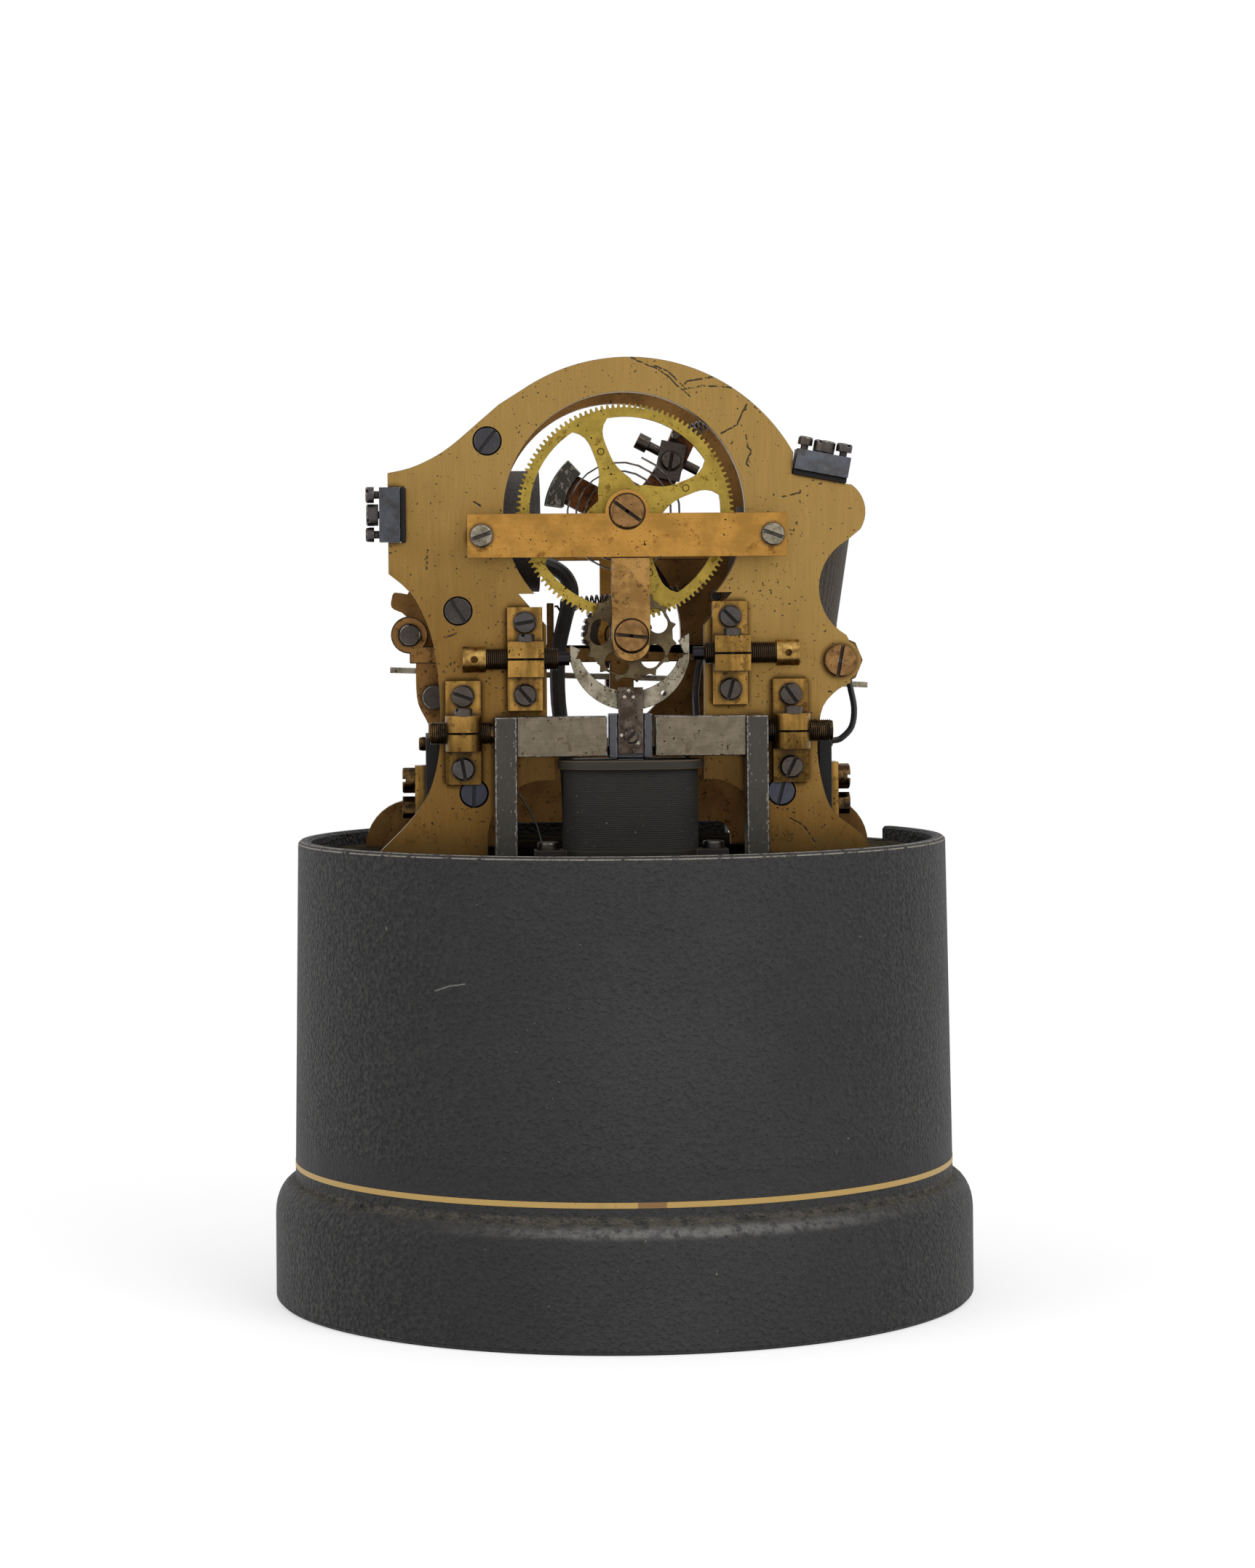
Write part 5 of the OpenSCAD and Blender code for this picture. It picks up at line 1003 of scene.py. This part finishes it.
class TICKER_OT_plates(TickerOperator, bpy.types.Operator):
    """Dresses the two brass plates, the pillars between them and their screws"""

    bl_idname = "ticker.plates"
    bl_label = "Plates"

    def execute(self, context):
        dress("front_plate", front_plate_brass(), plate_edge_brass())
        for node in ("back_plate", "frame_pillars"):
            dress(node, back_plate_brass(), plate_edge_brass())
        dress("pillar_screws", blued_steel("pillar screw steel", 1.0), blued_edge(), "screw_edge")
        dress_screws("plate_studs")
        return {"FINISHED"}


class TICKER_OT_bridges(TickerOperator, bpy.types.Operator):
    """Dresses the front bridge with its leg and posts, the rear bridge, and the bearing screws"""

    bl_idname = "ticker.bridges"
    bl_label = "Bridges"

    def execute(self, context):
        edge = bridge_edge_brass()
        dress("bridge_bar", bridge_brass(), edge, 0.5 * MM)
        dress("bridge_leg", leg_brass(), edge, 0.5 * MM)
        for node in ("bridge_posts", "rear_bridge"):
            dress(node, bridge_brass(), edge)
        for node in ("wheel_bearing_screw", "escape_bearing_screw", "rear_bushes"):
            dress(node, bearing_copper(node), bearing_edge(), 0.35 * MM)
        dress("bridge_screws", fork_steel("bridge screw steel", 3.2 * MM), steel_edge(), "screw_edge")
        return {"FINISHED"}


class TICKER_OT_clamps(TickerOperator, bpy.types.Operator):
    """Dresses the four clamps and cuts the threads of the stop screws and pole screws"""

    bl_idname = "ticker.clamps"
    bl_label = "Clamps and adjusting screws"

    def execute(self, context):
        for node in ("stop_clamps", "pole_clamps"):
            dress(node, clamp_brass(), clamp_edge_brass())
        dress_screws("clamp_screws")
        head, tip, end = 6.5 * MM, 3.2 * MM, 0.4 * MM
        for side, bare in (("left", (head, tip)), ("right", (tip, head))):
            dress("stop_screw_" + side, stop_screw_brass(), clamp_edge_brass(), 0.2 * MM)
            thread("stop", side, bare)
            dress("pole_screw_" + side, thread_brass(), clamp_edge_brass(), 0.2 * MM)
            thread("pole", side, (end, end))
        return {"FINISHED"}


class TICKER_OT_magnets(TickerOperator, bpy.types.Operator):
    """Dresses the horseshoe magnet, its pole pieces, the coil and the armature between them"""

    bl_idname = "ticker.magnets"
    bl_label = "Magnet and coil"

    def execute(self, context):
        dress("horseshoe_magnet", magnet_steel(), steel_edge(), 0.45 * MM)
        dress("pole_pieces", pole_steel(), steel_edge())
        worn_rubber = hard_rubber("bobbin edge", rgb(104, 88, 68))
        dress("coil_bobbin", hard_rubber("bobbin rubber", rgb(60, 55, 50)), worn_rubber, 0.4 * MM, 3)
        cloth = cloth_wrap("coil cloth", context.scene.ticker_colours.coil_cloth, 0.62 * MM, "Z")
        dress("coil_winding", cloth, None, 0.5 * MM, 3)
        dress("armature", armature_steel(), blued_edge())
        dress_screws("fork_pivot_pin")
        return {"FINISHED"}


class TICKER_OT_train(TickerOperator, bpy.types.Operator):
    """Dresses the great wheel, the escape wheel, their arbors and the pallet fork"""

    bl_idname = "ticker.train"
    bl_label = "Wheels and fork"

    def execute(self, context):
        dress("great_wheel", wheel_brass(), wheel_edge_brass(), "tooth_edge", 1)
        dress_screws("great_arbor")
        dress("mainspring", spring_steel(), None, 0)
        dress("escape_wheel", escape_brass(), wheel_edge_brass(), "tooth_edge", 1)
        dress_screws("escape_arbor", "tooth_edge", 1)
        dress_screws("type_wheels", 0)
        dress("pallet_fork", fork_steel(), steel_edge(), 0.2 * MM)
        dress("fork_strip", strip_bronze(), steel_edge(), 0.15 * MM)
        return {"FINISHED"}


class TICKER_OT_terminals(TickerOperator, bpy.types.Operator):
    """Dresses the binding blocks, the terminals low on both sides and the lobe screw"""

    bl_idname = "ticker.terminals"
    bl_label = "Terminals"

    def execute(self, context):
        dress("binding_blocks", blued_steel(), blued_edge())
        dress("binding_insulators", hard_rubber())
        dress_screws("binding_screws", 0.2 * MM)
        dress("terminal_strips", hard_rubber())
        dress("terminal_blocks", clamp_brass(), clamp_edge_brass())
        dress("terminal_screws", thread_brass(), clamp_edge_brass(), 0.2 * MM)
        pin = rgb(158, 154, 146)
        dress("lobe_screw", bearing_copper("lobe_screw", pin, 0.95 * MM), bearing_edge(), "screw_edge")
        return {"FINISHED"}


class TICKER_OT_winding(TickerOperator, bpy.types.Operator):
    """Dresses the self winding gear: its magnet, lever and springs"""

    bl_idname = "ticker.winding"
    bl_label = "Winding gear"

    def execute(self, context):
        dress("winding_magnet_coil", leather_wrap(), None, 0.8 * MM, 3)
        dress("winding_magnet_core", blued_steel(), blued_edge())
        dress("winding_lever", brown_brass(), plate_edge_brass())
        dress("winding_armature", magnet_steel(), steel_edge())
        dress_screws("lever_fittings", 0.2 * MM)
        dress("lever_springs", spring_steel(), None, 0)
        return {"FINISHED"}


class TICKER_OT_printing(TickerOperator, bpy.types.Operator):
    """Dresses the printing side: press magnet and lever, tape guide, ink arm and rollers"""

    bl_idname = "ticker.printing"
    bl_label = "Printing side"

    def execute(self, context):
        cloth = cloth_wrap("woven wrap", rgb(80, 73, 65), 1.2 * MM, "Y", 0.7 * MM)
        dress("press_magnet_coil", cloth, None, 0.8 * MM, 3)
        dress("press_magnet_core", blued_steel(), blued_edge())
        dress("tape_guide", fork_steel(), steel_edge(), 0.2 * MM)
        for node in ("press_lever", "ink_arm"):
            dress(node, back_plate_brass(), plate_edge_brass())
        dress("ink_roller", ink_felt(), None, 0.6 * MM, 3)
        dress("feed_roller", clamp_brass(), clamp_edge_brass(), "screw_edge")
        dress("pressure_roller", pole_steel(), steel_edge(), "screw_edge")
        return {"FINISHED"}


class TICKER_OT_leads(TickerOperator, bpy.types.Operator):
    """Dresses the insulated leads"""

    bl_idname = "ticker.leads"
    bl_label = "Leads"

    def execute(self, context):
        dress("leads", lead_cover(), None, 0)
        bend = (
            (-32, -33, 148.5), (-29.6, -33, 145), (-26, -33, 140.5), (-25, -33.5, 136), (-24.4, -34.5, 132)
        )
        wire("coil_wire", bend, 0.28 * MM, lead_cover())
        return {"FINISHED"}


LENS_SHIFT = (0.00487, -0.10877)  # sets the ticker in the photograph's frame
FLOOR_SHADE = (0.11, 0.42)  # from the drum's foot to where the floor is plain white


class TICKER_OT_stage(TickerOperator, bpy.types.Operator):
    """Makes the floor, the sky, the lamps and the camera"""

    bl_idname = "ticker.stage"
    bl_label = "Stage"

    def execute(self, context):
        stage = context.scene.ticker_stage
        context.scene.view_settings.view_transform = "Standard"
        self.floor()
        self.sky(context, stage)
        self.lamp("key light", (1.1, -1.5, 1.4), 1.2, stage.key_power)
        self.lamp("fill light", (-1.7, -0.9, 1.0), 1.4, stage.fill_power)
        self.camera(context, stage)
        return {"FINISHED"}

    def lamp(self, name, place, size, power):
        """A square soft light that faces the ticker's middle."""
        aim = Vector((0, 0, 0.14)) - Vector(place)
        turn = aim.to_track_quat("-Z", "Y").to_euler()
        bpy.ops.object.light_add(type="AREA", location=place, rotation=turn)
        lamp = bpy.context.active_object
        lamp.name = name
        lamp.data.size = size
        lamp.data.energy = power

    def background_rays(self, f):
        """1 for rays that see the background: straight from the camera, reflected or through glass."""
        kinds = ("Is Camera Ray", "Is Glossy Ray", "Is Transmission Ray")
        return reduce(or_, (f.node("LightPath", out=kind) for kind in kinds))

    def floor(self):
        """White floor that keeps the ticker's shadow."""
        bpy.ops.object.select_all(action="DESELECT")
        bpy.ops.mesh.primitive_plane_add(size=12, location=(0, 0, 0))
        floor = bpy.context.active_object
        floor.name = "floor"
        f = Finish("floor")
        plain = f.node("BsdfDiffuse", {}, {"Color": (0.8, 0.8, 0.8, 1)})
        glow = f.node("Emission", {}, {"Color": (1, 1, 1, 1), "Strength": 0.5})
        white = f.node("Emission", {}, {"Color": (1, 1, 1, 1), "Strength": 1.0})
        lit = f.node("AddShader", {}, {0: plain, 1: glow})
        out = f.vector("LENGTH", f.place, out="Value")
        lit = f.node("MixShader", {}, {0: f.between(out, *FLOOR_SHADE), 1: lit, 2: white})
        f.end(f.node("MixShader", {}, {0: self.background_rays(f), 1: plain, 2: lit}))
        floor.data.materials.append(f.material)

    def sky(self, context, stage):
        """White background, and a plainer light from all round."""
        world = bpy.data.worlds.new("sky")
        context.scene.world = world
        f = Finish("sky", world)
        white = f.node("Background", {}, {"Color": (1, 1, 1, 1), "Strength": 1.0})
        light = f.node("Background", {}, {"Color": (1, 1, 1, 1), "Strength": stage.sky})
        seen = f.node("MixShader", {}, {0: self.background_rays(f), 1: light, 2: white})
        f.end(seen, "OutputWorld")

    def camera(self, context, stage):
        """The photograph's view: level, a little to the left, with the ticker set by lens shift."""
        turn = stage.turn
        place = (-stage.distance * sin(turn), -stage.distance * cos(turn), stage.height)
        level = Matrix.Rotation(-turn, 4, "Z") @ Matrix.Rotation(pi / 2, 4, "X")
        facing = level @ Matrix.Rotation(-stage.roll, 4, "Z")
        bpy.ops.object.camera_add(location=place, rotation=facing.to_euler())
        camera = bpy.context.active_object
        camera.name = "photograph view"
        camera.data.lens = stage.lens
        camera.data.sensor_width = 36
        camera.data.shift_x, camera.data.shift_y = LENS_SHIFT
        camera.data.clip_end = 50
        context.scene.camera = camera


OPERATORS = (
    TICKER_OT_stage, TICKER_OT_base, TICKER_OT_plates, TICKER_OT_bridges, TICKER_OT_clamps,
    TICKER_OT_magnets, TICKER_OT_train, TICKER_OT_terminals, TICKER_OT_winding, TICKER_OT_printing,
    TICKER_OT_leads,
)


class TICKER_PT_panel(bpy.types.Panel):
    """Lists the ticker's settings and operators"""

    bl_idname = "TICKER_PT_panel"
    bl_label = "Stock ticker"
    bl_space_type = "VIEW_3D"
    bl_region_type = "UI"
    bl_category = "Ticker"

    def draw(self, context):
        scene = context.scene
        for title, group in (
            ("Sizes", scene.ticker_sizes), ("Colours", scene.ticker_colours), ("Stage", scene.ticker_stage)
        ):
            box = self.layout.box()
            box.label(text=title)
            for name in group.__annotations__:
                box.prop(group, name)
        column = self.layout.column(align=True)
        for operator in OPERATORS:
            column.operator(operator.bl_idname)


CLASSES = (TickerSizes, TickerColours, TickerStage, *OPERATORS, TICKER_PT_panel)


def register():
    for made in CLASSES:
        bpy.utils.register_class(made)
    bpy.types.Scene.ticker_sizes = PointerProperty(type=TickerSizes)
    bpy.types.Scene.ticker_colours = PointerProperty(type=TickerColours)
    bpy.types.Scene.ticker_stage = PointerProperty(type=TickerStage)


def unregister():
    del bpy.types.Scene.ticker_stage
    del bpy.types.Scene.ticker_colours
    del bpy.types.Scene.ticker_sizes
    for made in reversed(CLASSES):
        bpy.utils.unregister_class(made)


def main():
    """Builds the whole ticker."""
    register()
    for operator in OPERATORS:
        group, name = operator.bl_idname.split(".")
        getattr(getattr(bpy.ops, group), name)()


if __name__ == "__main__":
    main()
